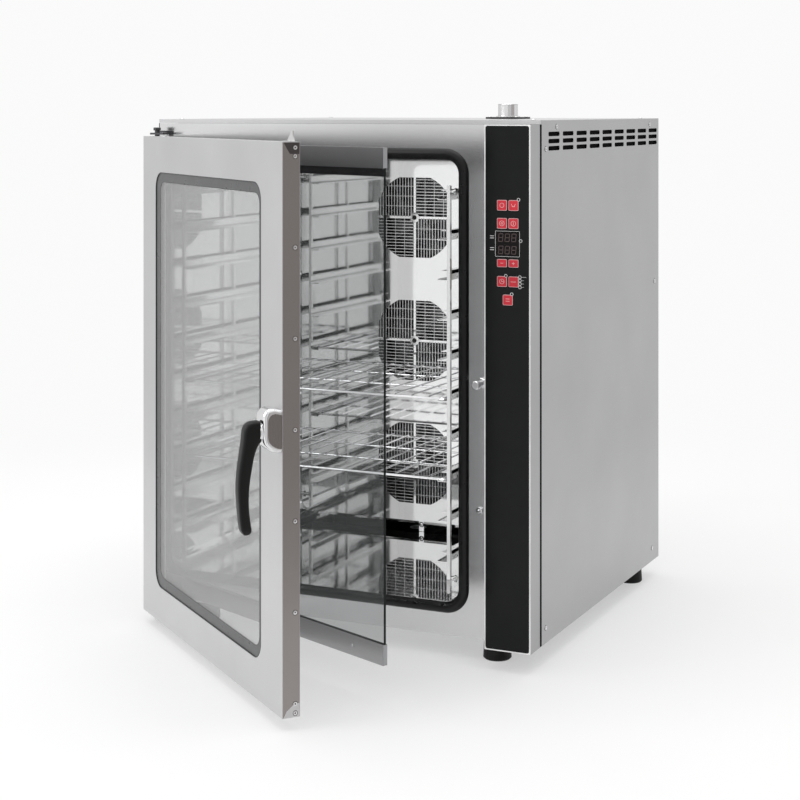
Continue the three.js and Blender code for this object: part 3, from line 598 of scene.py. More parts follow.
def rack(name, side):
    """Tray rails: one folded channel per level, hung on square posts."""
    low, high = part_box(name)
    wall_x = high.x if side > 0 else low.x
    tray_x = low.x if side > 0 else high.x
    web = tray_x + side * 22 * MM
    post = (min(web, wall_x), max(web, wall_x))
    section = [(0, 0), (-22, 0), (-22, 3), (-20.6, 3), (-20.6, 1.4), (-1.4, 1.4), (-1.4, 18.6), (-13, 18.6),
               (-13, 20), (0, 20)]
    shape = Shape("rack_steel")
    for level in range(RACK["levels"]):
        z = RACK["lowest"] + level * RACK["pitch"]
        ring = [(web + side * a * MM, z - RACK["sheet"] + b * MM) for a, b in section]
        shape.loft([[Vector((a, y, b)) for a, b in ring] for y in (low.y + 2 * MM, high.y)])
        # painted shade: a black band on the web's wall side under its top fold, and black discs that stand
        # for the holes with the dark seen through them
        shade_band = sorted((web, web + side * 0.3 * MM))
        shape.use("matte_painted_shade")
        shape.box((shade_band[0], low.y + 1 * MM, z + 11 * MM), (shade_band[1], high.y - 1 * MM, z + 18 * MM))
        for k in range(RACK["holes"]):
            centre = (web, low.y + (18 + 34 * k) * MM, z + 2.5 * MM)
            shape.lathe(mm((1.6, 0), (1.6, 0.3)), centre, (side, 0, 0), 8)
        shape.use("rack_steel")
    shape.use("guard_steel")
    for y in (low.y, (low.y + high.y) / 2, high.y - 12 * MM):
        shape.box((post[0] - 0.5 * MM, y, low.z), (post[1] + 0.5 * MM, y + 8 * MM, high.z))
    hooks = Shape("rack_steel")
    stud = mm((4, 0), (4, 7), (7, 8), (7, 11))
    for y in (low.y + 8 * MM, high.y - 8 * MM):
        for z in (low.z + 30 * MM, high.z - 12 * MM):
            hooks.lathe(stud, (wall_x, y, z), (side, 0, 0), 14)
    shape.done(f"{name}_channels", "oven", bevel=0.4 * MM, stands_for=name)
    hooks.done(f"{name}_studs", "oven")


def wire_shelf(name):
    """A chromed wire shelf: a thick frame, thin bars front to back and two stays under them."""
    low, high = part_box(name)
    thick = 2.6 * MM
    thin = 1.9 * MM
    z = low.z + thick
    outline = rounded(low.x + thick, high.x - thick, low.y + thick, high.y - thick, 9 * MM, 4)
    shape = Shape("wire_chrome")
    shape.tube([(a, b, z) for a, b in outline], thick, 10, closed=True)
    bars = 15
    top = z + thick + thin * 0.5
    foot = z + 1 * MM
    bends = ((low.y + 1.2 * MM, foot), (low.y + 5 * MM, top),
             (high.y - 5 * MM, top), (high.y - 1.2 * MM, foot))
    for i in range(1, bars + 1):
        x = low.x + (high.x - low.x) * i / (bars + 1)
        shape.tube([(x, a, b) for a, b in bends], thin, 8)
    for part in (1 / 3, 2 / 3):
        y = low.y + (high.y - low.y) * part
        shape.tube([(low.x + thick, y, z), (high.x - thick, y, z)], 2.1 * MM, 8)
    shape.done(f"{name}_wires", f"{name}_slide_body", stands_for=name)


def door_gasket():
    """A rounded rubber bead that runs round the chamber's mouth."""
    low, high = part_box("door_seal")
    width = 22 * MM
    corner = 28 * MM + width / 2
    height = FRONT - low.y
    path = inset(low, high, width / 2, corner, 14)
    count = len(path)
    rings = []
    for i, (a, b) in enumerate(path):
        before = Vector(path[i - 1])
        after = Vector(path[(i + 1) % count])
        along = (after - before).normalized()
        out = Vector((along.y, -along.x))
        ring = []
        for part in [k / 10 for k in range(11)]:
            offset = (part - 0.5) * width
            rise = height * math.sin(math.pi * part) ** 0.55
            ring.append(Vector((a + out.x * offset, FRONT - 0.3 * MM - rise, b + out.y * offset)))
        rings.append(ring)
    Shape("rubber").loft(rings, closed=True).done("door_gasket_bead", "oven", stands_for="door_seal")


# ---------- casing details
def casing_fixings():
    """Screws, and a black strip along each side panel's front joint as painted shadow in the gap."""
    side_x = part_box("right_side_panel")[1].x
    panel_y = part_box("right_side_panel")[0].y
    back_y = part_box("rear_panel")[1].y
    top_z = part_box("top_cover")[1].z
    screws = Shape("chrome")

    def fix(place, axis):
        screw(screws, place, axis, 4.5 * MM, 2.2 * MM)

    for y, z in ((-300, 1001), (321, 1001), (-362, 958), (-362, 30), (340, 30), (360, 640)):
        for side in (-1, 1):
            fix((side * side_x, y * MM, z * MM), (side, 0, 0))
    rows = [(x, z) for x in (-400, -200, 0, 200, 400) for z in (20, 985)]
    edges = [(x, z) for z in (250, 500, 750) for x in (-400, 400)]
    for x, z in rows + edges:
        fix((x * MM, back_y, z * MM), (0, 1, 0))
    for x in (-400, 400):
        for y in (-350, 350):
            fix((x * MM, y * MM, top_z), UP)
    screws.done("casing_screws", "oven")
    # painted shadow: a black strip over each side panel's front joint, wider than the gap
    joint = Shape("matte_painted_shade")
    for side in (-1, 1):
        faces = sorted((side * (side_x - 1.2 * MM), side * (side_x + 0.25 * MM)))
        joint.box((faces[0], FRONT - 0.2 * MM, 1 * MM), (faces[1], panel_y + 2.6 * MM, 1005.8 * MM))
    joint.done("panel_joint_shade", "oven")


VENT = {"rows": (987, 973, 959), "columns": 9, "first": -314, "pitch": 82.6, "length": 64, "height": 8.8}


def vented_side():
    """The right side sheet with its rows of round-ended slots, and a black sheet behind them as painted shade
    seen through the slots.
    """
    low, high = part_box("right_side_panel")
    holes = []
    for row in VENT["rows"]:
        for k in range(VENT["columns"]):
            y = (VENT["first"] + k * VENT["pitch"]) * MM
            half = VENT["length"] / 2 * MM
            rise = VENT["height"] / 2 * MM
            holes.append(rounded(y - half, y + half, row * MM - rise, row * MM + rise, 4 * MM, 5))
    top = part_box("top_cover")[1].z - 0.4 * MM
    sheet = Shape("side_steel")
    face = high.x + 0.15 * MM
    sheet.plate(rounded(low.y, high.y, low.z, top, 1 * MM, 3), holes, facing_right(face), face - low.x)
    sheet.done("side_sheet", "oven", bevel=0.3 * MM, segments=1, stands_for="right_side_panel")
    # painted shade: a black sheet behind the vent slots
    slot_shade = Shape("matte_painted_shade")
    last = VENT["first"] + (VENT["columns"] - 1) * VENT["pitch"] + VENT["length"] / 2
    start = VENT["first"] - VENT["length"] / 2
    slot_shade.box((low.x - 3 * MM, (start - 3) * MM, 953 * MM), (low.x - 2 * MM, (last + 3) * MM, 993 * MM))
    slot_shade.done("vent_slot_shade", "oven")


def steam_flue():
    """The spigot on the top with its rolled rim and flange."""
    low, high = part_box("steam_outlet_pipe")
    centre = ((low.x + high.x) / 2, (low.y + high.y) / 2)
    radius = (high.x - low.x) / 2
    rim = Shape("satin_mirror")
    ring = [(a, b, high.z - 0.5 * MM) for a, b in arc(*centre, radius - 0.6 * MM, 0, 350, 35)]
    rim.tube(ring, 1.2 * MM, 8, closed=True)
    plate_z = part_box("outlet_base_plate")[1].z
    rim.lathe([(radius + 5 * MM, 0), (radius + 5 * MM, 1.2 * MM), (radius + 0.6 * MM, 3.5 * MM)],
              (*centre, plate_z), UP, 36)
    for a in (-1, 1):
        for b in (-1, 1):
            screw(rim, (centre[0] + a * 30 * MM, centre[1] + b * 30 * MM, plate_z), UP, 3.2 * MM, 1.8 * MM)
    rim.done("flue_rim", "oven")


# ---------- control column
def key_boxes():
    return {name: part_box(name) for name in NODES if name.startswith("button_")}


def fascia():
    """The glossy panel on the column, cut out for the keys and the display, and a near-white painted
    highlight on the steel round it and along the column's right edge.
    """
    low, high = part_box("control_fascia")
    clearance = 0.25 * MM
    holes = [inset(a, b, -clearance, 2.4 * MM, 4) for a, b in key_boxes().values()]
    holes.append(inset(*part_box("display_window"), -clearance, 1 * MM, 2))
    shape = Shape("gloss_black")
    outline = inset(low, high, 0, 4.5 * MM, 6)
    shape.plate(outline, holes, facing_front(low.y), high.y - low.y)
    shape.done("fascia_panel", "oven", bevel=0.25 * MM, segments=1, stands_for="control_fascia")
    case_low, case_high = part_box("control_box")
    trim = Shape("painted_highlight_white")
    edge = inset(case_low, case_high, 0.1 * MM, 0.5 * MM, 2)
    trim.plate(edge, [outline], facing_front(case_low.y - 0.15 * MM), 0.3 * MM)
    # painted highlight: a thin near-white strip on the column's right front edge
    corner_low = (case_high.x - 0.05 * MM, case_low.y - 0.05 * MM, case_low.z + 1 * MM)
    trim.box(corner_low, (case_high.x + 0.15 * MM, case_low.y + 1.6 * MM, case_high.z - 1 * MM))
    trim.done("fascia_trim", "oven", bevel=0.1 * MM, segments=1)


def stroke(shape, a, b, y, width=0.9 * MM, high=0.18 * MM):
    """A thin raised printed line from a to b, each (x, z)."""
    a = Vector(a)
    b = Vector(b)
    along = (b - a).normalized()
    side = Vector((-along.y, along.x)) * width / 2
    ends = along * width / 2
    corners = [a - ends - side, b + ends - side, b + ends + side, a - ends + side]
    shape.plate([(p.x, p.y) for p in corners], [], facing_front(y - high), high)


def ring_mark(shape, centre, radius, y, width=0.8 * MM, high=0.18 * MM, steps=16):
    """A thin raised printed ring."""
    outer = arc(*centre, radius, 0, 360 - 360 / steps, steps - 1)
    inner = arc(*centre, radius - width, 0, 360 - 360 / steps, steps - 1)
    shape.plate(outer, [inner], facing_front(y - high), high)


def lamp_ring(shape, centre, y):
    """A small indicator: a white ring round a dark lens, lifted clear of the key beside it."""
    shape.use("gloss_black")
    shape.lathe(mm((3.0, 0), (3.0, 1.25)), (centre[0], y, centre[1]), FORWARD, 20)
    shape.use("pale_print")
    ring_mark(shape, centre, 3.3 * MM, y - 1.25 * MM, 1.0 * MM, 0.15 * MM, 20)


def key_icon(shape, name, centre, y):
    """Plain line symbols: a ring, three strokes, two rings, a ring with an upright stroke, minus, plus, a
    clock face, one bar and two bars.
    """
    x, z = centre

    def line(x0, z0, x1, z1):
        stroke(shape, (x + x0 * MM, z + z0 * MM), (x + x1 * MM, z + z1 * MM), y)

    def ring(radius):
        ring_mark(shape, (x, z), radius * MM, y)

    if name == "button_program":
        ring(4.6)
    elif name == "button_light":
        for k in (-1, 1):
            line(4 * k, 2.5, 2.2 * k, -1)
        line(-2.4, -2, 2.4, -2)
    elif name == "button_mode":
        ring(5.2)
        ring(2.0)
    elif name == "button_steam":
        ring(5.2)
        line(0, -2.4, 0, 2.4)
    elif name in ("button_minus", "button_plus"):
        line(-2.4, 0, 2.4, 0)
        if name == "button_plus":
            line(0, -2.4, 0, 2.4)
    elif name == "button_timer":
        ring(5.0)
        line(-0.5, 0, 3, 0)
        line(-0.5, 0, -0.5, 2.6)
    elif name == "button_vent":
        line(-5, 0, 5, 0)
    else:
        line(-3.5, 2.2, 3.5, 2.2)
        line(-3.5, -2.2, 3.5, -2.2)


def keys():
    """The keys: a pale rim round a red cap with its symbol."""
    for name, (low, high) in key_boxes().items():
        shape = Shape("pale_key")
        shape.plate(inset(low, high, 0, 2.2 * MM, 4), [], facing_front(low.y), high.y - low.y)
        shape.use("red_key")
        shape.plate(inset(low, high, 0.8 * MM, 1.6 * MM, 4), [], facing_front(low.y - 0.25 * MM), 0.3 * MM)
        shape.use("pale_key")
        centre = ((low.x + high.x) / 2, (low.z + high.z) / 2)
        key_icon(shape, name, centre, low.y - 0.24 * MM)
        shape.done(f"{name}_cap", f"{name}_key", bevel=0.15 * MM, segments=1, stands_for=name)


def digit_eight(shape, x, z, width, height, y):
    """The seven bars of an unlit display digit, leaning a little."""
    lean = 0.08
    half = height / 2
    inset = 0.9 * MM

    def at(a, b):
        return (x + a + lean * b, z + b)

    for b in (-half, 0, half):
        stroke(shape, at(inset, b), at(width - inset, b), y, 1.5 * MM, 0.12 * MM)
    for a in (0, width):
        for b0, b1 in ((-half, 0), (0, half)):
            stroke(shape, at(a, b0 + inset), at(a, b1 - inset), y, 1.5 * MM, 0.12 * MM)


def display_print():
    """The display's border and digits, the indicator rings and the ticks beside them."""
    low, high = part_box("display_window")
    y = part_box("control_fascia")[0].y
    shape = Shape("pale_print")
    inside = inset(low, high, 0.6 * MM, 0.6 * MM, 3)
    shape.plate(inset(low, high, 0, 1.4 * MM, 3), [inside], facing_front(low.y - 0.2 * MM), 0.2 * MM)
    # painted glow: the unlit digit bars give off a faint light
    shape.use("digit_painted_glow")
    middle = (low.z + high.z) / 2
    for row in (-1, 1):
        for k in range(3):
            x = low.x + (7 + 13.4 * k) * MM
            digit_eight(shape, x, middle + row * 11.8 * MM, 8.5 * MM, 14.5 * MM, low.y)
    shape.use("pale_print")
    for x, z in ((406.6, 863.2), (410.9, 784.9), (380.7, 717.6), (392.7, 682.9)):
        lamp_ring(shape, (x * MM, z * MM), y)
    for k in range(4):
        z = (716 - 6.4 * k) * MM
        lamp_ring(shape, (409.4 * MM, z), y)
        stroke(shape, (412.4 * MM, z), ((421.5 if k == 0 else 416.5) * MM, z), y, 0.6 * MM)
    for z in (793, 789, 770.5, 766.5):
        stroke(shape, (348.5 * MM, z * MM), (355.5 * MM, z * MM), y, 1.1 * MM)
    shape.done("display_marks", "oven")


def strike_and_stud():
    """The pin that the latch grips and the stud that tells the oven its door is shut."""
    low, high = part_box("door_strike")
    base = ((low.x + high.x) / 2, high.y, (low.z + high.z) / 2)
    reach = high.y - low.y
    shape = Shape("chrome")
    hex_bolt(shape, base, FORWARD, 11 * MM, 9 * MM)
    shape.lathe([(6.2 * MM, 8 * MM), (6.2 * MM, reach - 12 * MM), (8.6 * MM, reach - 11 * MM),
                 (8.6 * MM, reach - 1.5 * MM), (7 * MM, reach)], base, FORWARD, 28)
    shape.done("strike_pin", "oven", bevel=0.5 * MM, stands_for="door_strike")
    low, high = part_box("door_switch_stud")
    base = ((low.x + high.x) / 2, high.y, (low.z + high.z) / 2)
    stud = Shape("chrome")
    hex_bolt(stud, base, FORWARD, 8 * MM, 5 * MM)
    stud.lathe(mm((4.2, 4.5), (4.2, 9), (2.6, 10.7)), base, FORWARD, 20)
    stud.done("switch_stud", "oven", bevel=0.4 * MM, stands_for="door_switch_stud")


# ---------- door, drawn shut and then swung open
def across(u):
    """A place along the shut door's width, in mm from its hinge side."""
    return DOOR_LOW.x + u * MM


def into(v):
    """A depth behind the shut door's outer face, in mm."""
    return DOOR_FACE + v * MM


def door_edge():
    """The cover on the door's free edge, its screws and the folded corner tabs. The cover's brownish dark
    colour is a painted reflection of the dark studio.
    """
    x = DOOR_HIGH.x
    top = DOOR_HIGH.z
    bottom = DOOR_LOW.z
    skin = 0.35 * MM
    tab_face = x + 0.55 * MM
    # painted reflection: the edge cover's brownish dark colour
    cover = Shape("edge_painted_reflection")
    cover.box((x, into(0.8), bottom + 1 * MM), (x + skin, into(32.5), top - 1 * MM))
    # painted shade: the upper corner tab is darker than the lower one, which keeps the door steel
    cover.use("corner_painted_shade")
    tab = [(into(v), top - drop * MM) for v, drop in ((2, 1), (32, 1), (32, 21), (14, 21))]
    cover.plate(tab, [], facing_right(tab_face), 0.3 * MM)
    cover.use("door_steel")
    corners = ((2, 1), (32, 1), (32, 24), (21, 22), (8, 12))
    tab = [(into(v), bottom + rise * MM) for v, rise in corners]
    cover.plate(tab, [], facing_right(tab_face), 0.3 * MM)
    cover.done("door_edge_cover", "door", bevel=0.1 * MM, segments=1)
    screws = Shape("chrome")
    first = bottom + 23 * MM
    head = 0.4 * MM
    for k in range(7):
        screw(screws, (x + skin, into(24), first + 158 * MM * k), (1, 0, 0), 3.8 * MM, head)
    for z in (top - 10 * MM, bottom + 7 * MM):
        screw(screws, (tab_face, into(24), z), (1, 0, 0), 3.8 * MM, head)
    screws.done("door_edge_screws", "door")


def window_border():
    """The printed band and the bead round the door's outer pane."""
    low = Vector((across(80), DOOR_FACE, 54 * MM))
    high = Vector((across(666), DOOR_FACE, 906 * MM))
    ring = Shape("border_grey")
    inside = rounded(across(107), across(654), 77 * MM, 886 * MM, 20 * MM, 10)
    ring.plate(inset(low, high, 0.3 * MM, 33.7 * MM, 10), [inside], facing_front(into(1.55)), 0.24 * MM)
    ring.use("border_black")
    thin = rounded(across(105.5), across(655.2), 75.8 * MM, 887.2 * MM, 21 * MM, 10)
    ring.plate(thin, [inside], facing_front(into(1.5)), 0.2 * MM)
    path = inset(low, high, 1.2 * MM, 32.8 * MM, 10)
    ring.tube([(a, into(0.9), b) for a, b in path], 1.1 * MM, 8, closed=True)
    ring.done("window_border", "door")


def door_trim():
    """Vent slots along the top, drawn as dark plates that paint in the shade inside the openings, and the
    inner leaf's catch.
    """
    top = DOOR_HIGH.z
    slots = Shape("dark_paint_and_slot_shade")
    for k in range(24):
        u = 70 + 27 * k
        outline = rounded(across(u), across(u + 18), into(20), into(25), 2.4 * MM, 4)
        slots.plate(outline, [], facing_up(top + 0.15 * MM), 0.3 * MM)
    slots.done("door_top_slots", "door")
    low, high = closed_box("glass_catch", DOOR_REST)
    clip = Shape("satin_mirror")
    profile = [(low.x, low.z), (high.x, low.z), (high.x - 4 * MM, low.z + 9 * MM), (high.x - 5 * MM, high.z),
               (high.x - 9 * MM, high.z), (low.x + 9 * MM, low.z + 9 * MM)]
    clip.plate(profile, [], facing_front(low.y), high.y - low.y)
    clip.box((low.x, low.y - 8 * MM, low.z - 0.2 * MM), (high.x, high.y, low.z + 1.2 * MM))
    clip.done("catch_clip", "door", bevel=0.3 * MM, stands_for="glass_catch")


def hinge_bolts():
    """The heads of the pins that the outer door turns on."""
    pin_x, pin_y, _ = JOINTS["door_hinge"]["pos_m"]
    bolts = Shape("dark_zinc")
    hex_bolt(bolts, (pin_x, pin_y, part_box("upper_hinge_bracket")[1].z), UP, 8 * MM, 6 * MM)
    hex_bolt(bolts, (pin_x, pin_y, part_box("lower_hinge_bracket")[0].z), (0, 0, -1), 8 * MM, 5 * MM)
    bolts.done("hinge_bolts", "oven", bevel=0.4 * MM)


# ---------- handle
BOSS_LOW, BOSS_HIGH = closed_box("handle_boss", DOOR_REST)
GRIP_LOW, GRIP_HIGH = closed_box("handle_grip", DOOR_REST)
HANDLE_X = (GRIP_LOW.x + GRIP_HIGH.x) / 2


def proud(n):
    """A distance in front of the shut door's face, in mm."""
    return DOOR_FACE - n * MM


def handle_boss():
    """The cast bracket: a flat cheek, a round shoulder on top and a lip below that reaches to the lever. A
    thin brownish plate on the cheek is a painted reflection of the dark studio in the chrome.
    """
    side = BOSS_HIGH.x
    middle = 479
    edge_round = 8
    shoulder = smooth_curve([(8, 518), (17, 519.5), (27, 516.5), (33, 508)], 5)
    lip = smooth_curve([(34, 468), (31, 457), (22, 447.5), (12, 442), (4, 440)], 5)
    outline = [(0.3, 440), (0.3, 516), *[tuple(p) for p in shoulder], (34, 500), *[tuple(p) for p in lip]]

    def shrunk(inset):
        size = 1 - inset / 37
        return [(proud(n * size), (middle + (z - middle) * size) * MM) for n, z in outline]

    rings = []
    for degrees in range(0, 91, 15):
        turn = math.radians(degrees)
        x = side - edge_round * (1 - math.cos(turn)) * MM
        rings.append([Vector((x, y, z)) for y, z in shrunk(edge_round * (1 - math.sin(turn)))])
    rings.append([Vector((BOSS_LOW.x, y, z)) for y, z in shrunk(0)])
    shape = Shape("chrome")
    shape.loft(rings)
    # painted reflection: a brownish plate laid on the chrome cheek
    shape.use("cheek_painted_reflection")
    shape.plate(shrunk(edge_round + 0.6), [], facing_right(side + 0.2 * MM), 0.3 * MM)
    shape.done("boss_casting", "door", stands_for="handle_boss")


def grip_ring(outer, inner, half):
    """A cross-section of the lever: a box with rounded corners, a superellipse."""
    outer = Vector(outer)
    inner = Vector(inner)
    sides = 28
    power = 2 / 5
    ring = []
    for k in range(sides):
        a = 2 * math.pi * (k + 0.5) / sides
        t = 0.5 + 0.5 * math.copysign(abs(math.cos(a)) ** power, math.cos(a))
        w = math.copysign(abs(math.sin(a)) ** power, math.sin(a))
        p = inner + (outer - inner) * t
        ring.append(Vector((HANDLE_X + w * half, proud(p.x), p.y * MM)))
    return ring


def handle_grip():
    """The black lever, bowed down from its root on the boss to a round tip."""
    outer = smooth_curve([(38, 498.5), (54, 497.5), (65, 488), (68.5, 463), (72, 440), (75.5, 417),
                          (77.3, 396), (77.5, 375), (76, 353), (74.4, 332), (72, 314)], 4)
    inner = smooth_curve([(36, 462), (40, 457), (44, 449), (48, 437), (51.5, 420), (54.3, 404), (56.3, 388),
                          (57.5, 371), (57.2, 350), (55.2, 330), (52, 313)], 4)
    count = len(outer)
    rings = []
    for k, (a, b) in enumerate(zip(outer, inner)):
        part = k / (count - 1)
        half = (12.5 - 3.0 * part) * MM
        rings.append(grip_ring(a, b, half))
    for shrink, drop in ((0.86, 5), (0.62, 8.5), (0.3, 10.5)):
        middle = (outer[-1] + inner[-1]) / 2 - Vector((1.0, drop))
        reach = (outer[-1] - inner[-1]) / 2 * shrink
        rings.append(grip_ring(middle + reach, middle - reach, 9.5 * MM * shrink))
    shape = Shape("handle_black")
    shape.loft(rings)
    piece = shape.done("lever_grip", "handle", stands_for="handle_grip")
    piece.data.set_sharp_from_angle(angle=math.radians(75))
    collar = Shape("chrome")
    z = JOINTS["handle_turn"]["pos_m"][2]
    root = mm((15.5, 0), (16, 1.2), (15, 4.6))
    collar.lathe(root, (HANDLE_X, proud(34.3), z), FORWARD, 32)
    collar.done("lever_collar", "handle")


# ---------- inner glass leaf
def inner_trim():
    """The black bands under the top rail, the pane's dark edge and the rail caps."""
    low, high = INNER_LOW, INNER_HIGH
    film = 0.5 * MM
    gap = 0.05 * MM
    top = TOP_RAIL_LOW.z
    band = Shape("border_black")
    for y0, y1 in ((low.y - film, low.y - gap), (high.y + gap, high.y + film)):
        band.box((low.x + 4 * MM, y0, top - 15 * MM), (high.x - film, y1, top - 0.2 * MM))
    band.done("glass_bands", "inner_door")
    edge = Shape("glass_edge")
    edge.box((high.x + gap, low.y, LOW_RAIL_HIGH.z), (high.x + film, high.y, top))
    edge.done("glass_edge_strip", "inner_door")
    caps = Shape("chrome")
    x = TOP_RAIL_HIGH.x
    y = (low.y + high.y) / 2
    for rail, lift, screws_at in ((TOP_RAIL_LOW, 0, ()), (LOW_RAIL_LOW, 6 * MM, (0.12, 0.5, 0.88))):
        z0 = rail.z + lift
        z1 = z0 + 38 * MM
        caps.use("zinc")
        caps.box((x, y - 4.6 * MM, z0 + 0.5 * MM), (x + 0.8 * MM, y + 4.6 * MM, z1 - 0.5 * MM))
        caps.use("chrome")
        for part in screws_at:
            place = (rail.x + (x - rail.x) * part, y - 4.75 * MM, (z0 + z1) / 2)
            screw(caps, place, FORWARD, 3 * MM, 1.4 * MM)
    caps.done("rail_caps", "inner_door")


# ---------- CAD nodes that keep their shape
def finish_nodes():
    """Gives each remaining CAD node its material and, on thin sheet, a rounded edge."""
    looks = {
        "side_steel": ["left_side_panel"],
        "top_steel": ["top_cover", "rear_panel"],
        "zinc": ["base_pan", "drain_fitting", "latch_tongue", "steam_injector"],
        "dark_zinc": ["lower_hinge_bracket", "upper_hinge_bracket"],
        "front_steel": ["front_frame"],
        "column_steel": ["control_box"],
        "mirror": ["cavity_liner"],
        "wool": ["insulation"],
        "heater": [f"heater_ring_{level}" for level in LEVELS],
        "wheel": [f"fan_wheel_{level}" for level in LEVELS],
        "motor": [f"fan_motor_{level}" for level in LEVELS],
        "lamp": ["cavity_lamp"],
        "valve": ["water_inlet_valve"],
        "board": ["circuit_board"],
        "dark_paint_and_slot_shade": ["outlet_base_plate"],
        "black_plastic": ["cable_gland"],
        "display_dark": ["display_window"],
        "door_steel": ["door_frame"],
        "outer_glass": ["door_outer_glass"],
        "inner_glass": ["inner_glass"],
        "rail_steel": ["inner_glass_top_rail", "inner_glass_bottom_rail"],
        "satin_mirror": ["steam_outlet_pipe"],
        "foot_rubber": [name for name in NODES if name.startswith("foot_")],
    }
    thin = {"door_frame": 1.1, "control_box": 0.8, "front_frame": 0.5, "top_cover": 0.6,
            "left_side_panel": 0.5, "rear_panel": 0.5, "outlet_base_plate": 0.8}
    for material, names in looks.items():
        for name in names:
            node = NODES[name]
            node.data.materials.clear()
            node.data.materials.append(MAT[material])
            dress(node, thin.get(name, 0.0) * MM)


# ---------- camera, studio
CAMERA = {"place": (1.6413, -3.6501, 1.0357), "azimuth": 24.84, "sensor": 36.0, "lens": 81.099,
          "shift": -0.36369}


def add_camera():
    """A level camera whose view is shifted down; another view moves it, and then the shift ends."""
    data = bpy.data.cameras.new("camera")
    camera = new_object("camera", data)
    camera.location = CAMERA["place"]
    camera.rotation_euler = (math.radians(90), 0, math.radians(CAMERA["azimuth"]))
    data.sensor_width = CAMERA["sensor"]
    data.lens = CAMERA["lens"]
    mark = new_object("camera_mark", None)
    mark.location = CAMERA["place"]
    driver = data.driver_add("shift_y").driver
    driver.type = "SCRIPTED"
    distance = driver.variables.new()
    distance.name = "away"
    distance.type = "LOC_DIFF"
    distance.targets[0].id = camera
    distance.targets[1].id = mark
    driver.expression = f"{CAMERA['shift']} * (away < 0.001)"
    bpy.context.scene.camera = camera


BACKDROP = (0.96, 0.96, 0.96, 1)


def add_stage():
    """A pale floor under the feet that fades into the backdrop."""
    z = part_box("foot_front_right")[0].z
    mesh = bpy.data.meshes.new("floor")
    size = 30.0
    corners = [(a * size, b * size, z) for a, b in ((-1, -1), (1, -1), (1, 1), (-1, 1))]
    mesh.from_pydata(corners, [], [(0, 1, 2, 3)])
    floor = new_object("floor", mesh)
    m = Nodes("floor")
    m.tint(m.noise(2.0), (0.88, 0.88, 0.88), (0.90, 0.90, 0.90))
    m.set(Roughness=0.6)
    where = m.add("NewGeometry")
    distance = m.add("VectorMath", operation="LENGTH")
    m.link(where.outputs["Position"], distance.inputs[0])
    reach = {"From Min": 0.9, "From Max": 2.4, "To Min": 0.45}
    fade = m.add("MapRange", reach, interpolation_type="SMOOTHSTEP")
    m.link(distance.outputs["Value"], fade.inputs["Value"])
    haze = m.add("Emission", {"Color": BACKDROP})
    path = m.add("LightPath")
    through = m.add("BsdfTransparent")
    far = m.mix(path.outputs["Is Camera Ray"], through.outputs["BSDF"], haze.outputs["Emission"])
    m.link(m.mix(fade.outputs["Result"], m.shader.outputs["BSDF"], far), m.output.inputs["Surface"])
    mesh.materials.append(MAT["floor"])


def area_light(name, place, aim, size, power):
    data = bpy.data.lights.new(name, "AREA")
    data.shape = "RECTANGLE"
    data.size, data.size_y = size
    data.energy = power
    lamp = new_object(name, data)
    lamp.location = place
    lamp.rotation_euler = (Vector(aim) - Vector(place)).to_track_quat("-Z", "Y").to_euler()


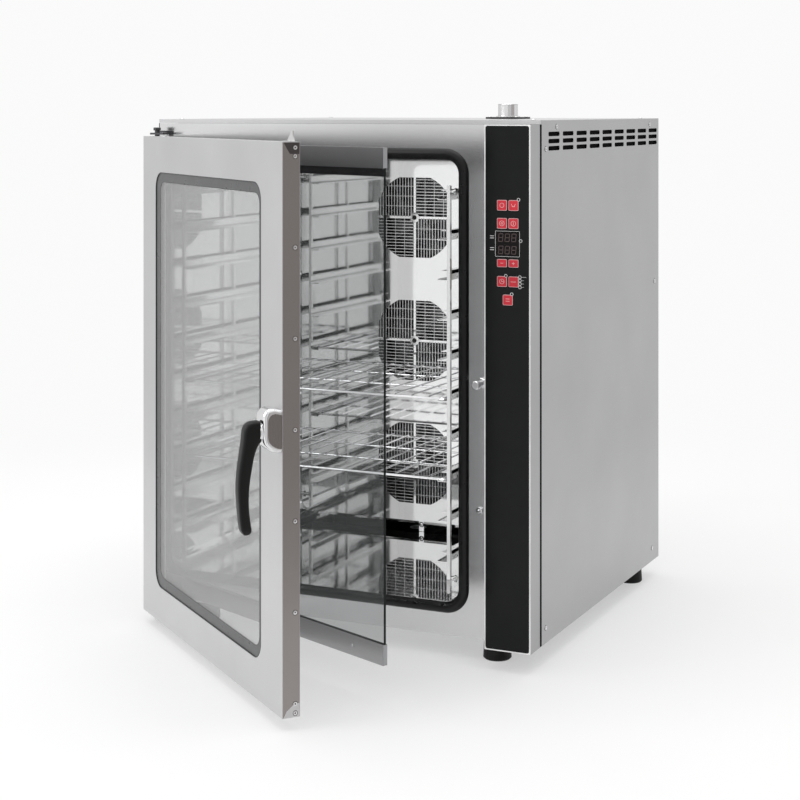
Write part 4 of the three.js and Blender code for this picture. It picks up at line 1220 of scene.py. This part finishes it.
def studio_world():
    """White behind the object; round it, soft boxes and darker gaps for the steel to mirror."""
    world = bpy.data.worlds.new("studio")
    bpy.context.scene.world = world
    world.use_nodes = True
    tree = world.node_tree
    link = tree.links.new
    background = tree.nodes["Background"]
    where = add_node(tree, "TexCoord")
    split = add_node(tree, "SeparateXYZ")
    angle = add_node(tree, "Math", operation="ARCTAN2")
    turn = add_node(tree, "Math", {1: 1 / (2 * math.pi), 2: 0.5}, operation="MULTIPLY_ADD")
    ramp = add_node(tree, "ValToRGB")
    ramp.color_ramp.interpolation = "EASE"
    link(where.outputs["Generated"], split.inputs["Vector"])
    link(split.outputs["Y"], angle.inputs[0])
    link(split.outputs["X"], angle.inputs[1])
    link(angle.outputs["Value"], turn.inputs[0])
    link(turn.outputs["Value"], ramp.inputs["Fac"])
    brightness = {0.0: 0.82, 0.10: 1.0, 0.18: 0.95, 0.24: 1.0, 0.29: 0.25, 0.33: 0.9, 0.39: 0.35, 0.58: 0.85,
                  0.68: 0.77, 0.78: 0.95, 0.88: 0.7, 1.0: 0.82}
    stops = {place: (grey, grey, grey, 1) for place, grey in brightness.items()}
    for place in (0.43, 0.50):
        stops[place] = (0.46, 0.44, 0.43, 1)
    elements = ramp.color_ramp.elements
    for element, place in ((elements[0], 0.0), (elements[1], 1.0)):
        element.position = place
        element.color = stops.pop(place)
    for place in sorted(stops):
        elements.new(place).color = stops[place]
    ceiling = add_node(tree, "MapRange", {"From Min": 0.35, "From Max": 0.75})
    link(split.outputs["Z"], ceiling.inputs["Value"])
    overhead = add_node(tree, "MixRGB", {"Color2": (1, 1, 1, 1)})
    link(ceiling.outputs["Result"], overhead.inputs["Fac"])
    link(ramp.outputs["Color"], overhead.inputs["Color1"])
    path = add_node(tree, "LightPath")
    seen = add_node(tree, "MixRGB", {"Color2": BACKDROP})
    link(path.outputs["Is Camera Ray"], seen.inputs["Fac"])
    link(overhead.outputs["Color"], seen.inputs["Color1"])
    link(seen.outputs["Color"], background.inputs["Color"])
    background.inputs["Strength"].default_value = 1.0


def add_light():
    studio_world()
    area_light("key_left", (-3.0, -3.6, 3.2), (0, -0.3, 0.5), (2.2, 2.2), 60)
    area_light("top", (0.2, -0.4, 4.0), (0, 0, 0.5), (3.0, 3.0), 50)
    mouth = ((LINER_LOW.x + LINER_HIGH.x) / 2, FRONT + 0.02, (LINER_LOW.z + LINER_HIGH.z) / 2)
    area_light("chamber_fill", mouth, (mouth[0], GUARD_LOW.y, mouth[2]), (0.6, 0.8), 0.9)


# ---------- assembly
finish_nodes()
fan_guard()
for rack_name, rack_side in (("left_rack", -1), ("right_rack", 1)):
    rack(rack_name, rack_side)
for shelf_name in ("lower_shelf", "upper_shelf"):
    wire_shelf(shelf_name)
for build in (door_gasket, casing_fixings, vented_side, steam_flue, fascia, keys, display_print,
              strike_and_stud, door_edge, window_border, door_trim, hinge_bolts, handle_boss,
              handle_grip, inner_trim, add_camera, add_stage, add_light):
    build()
bpy.context.scene.view_settings.view_transform = "Standard"
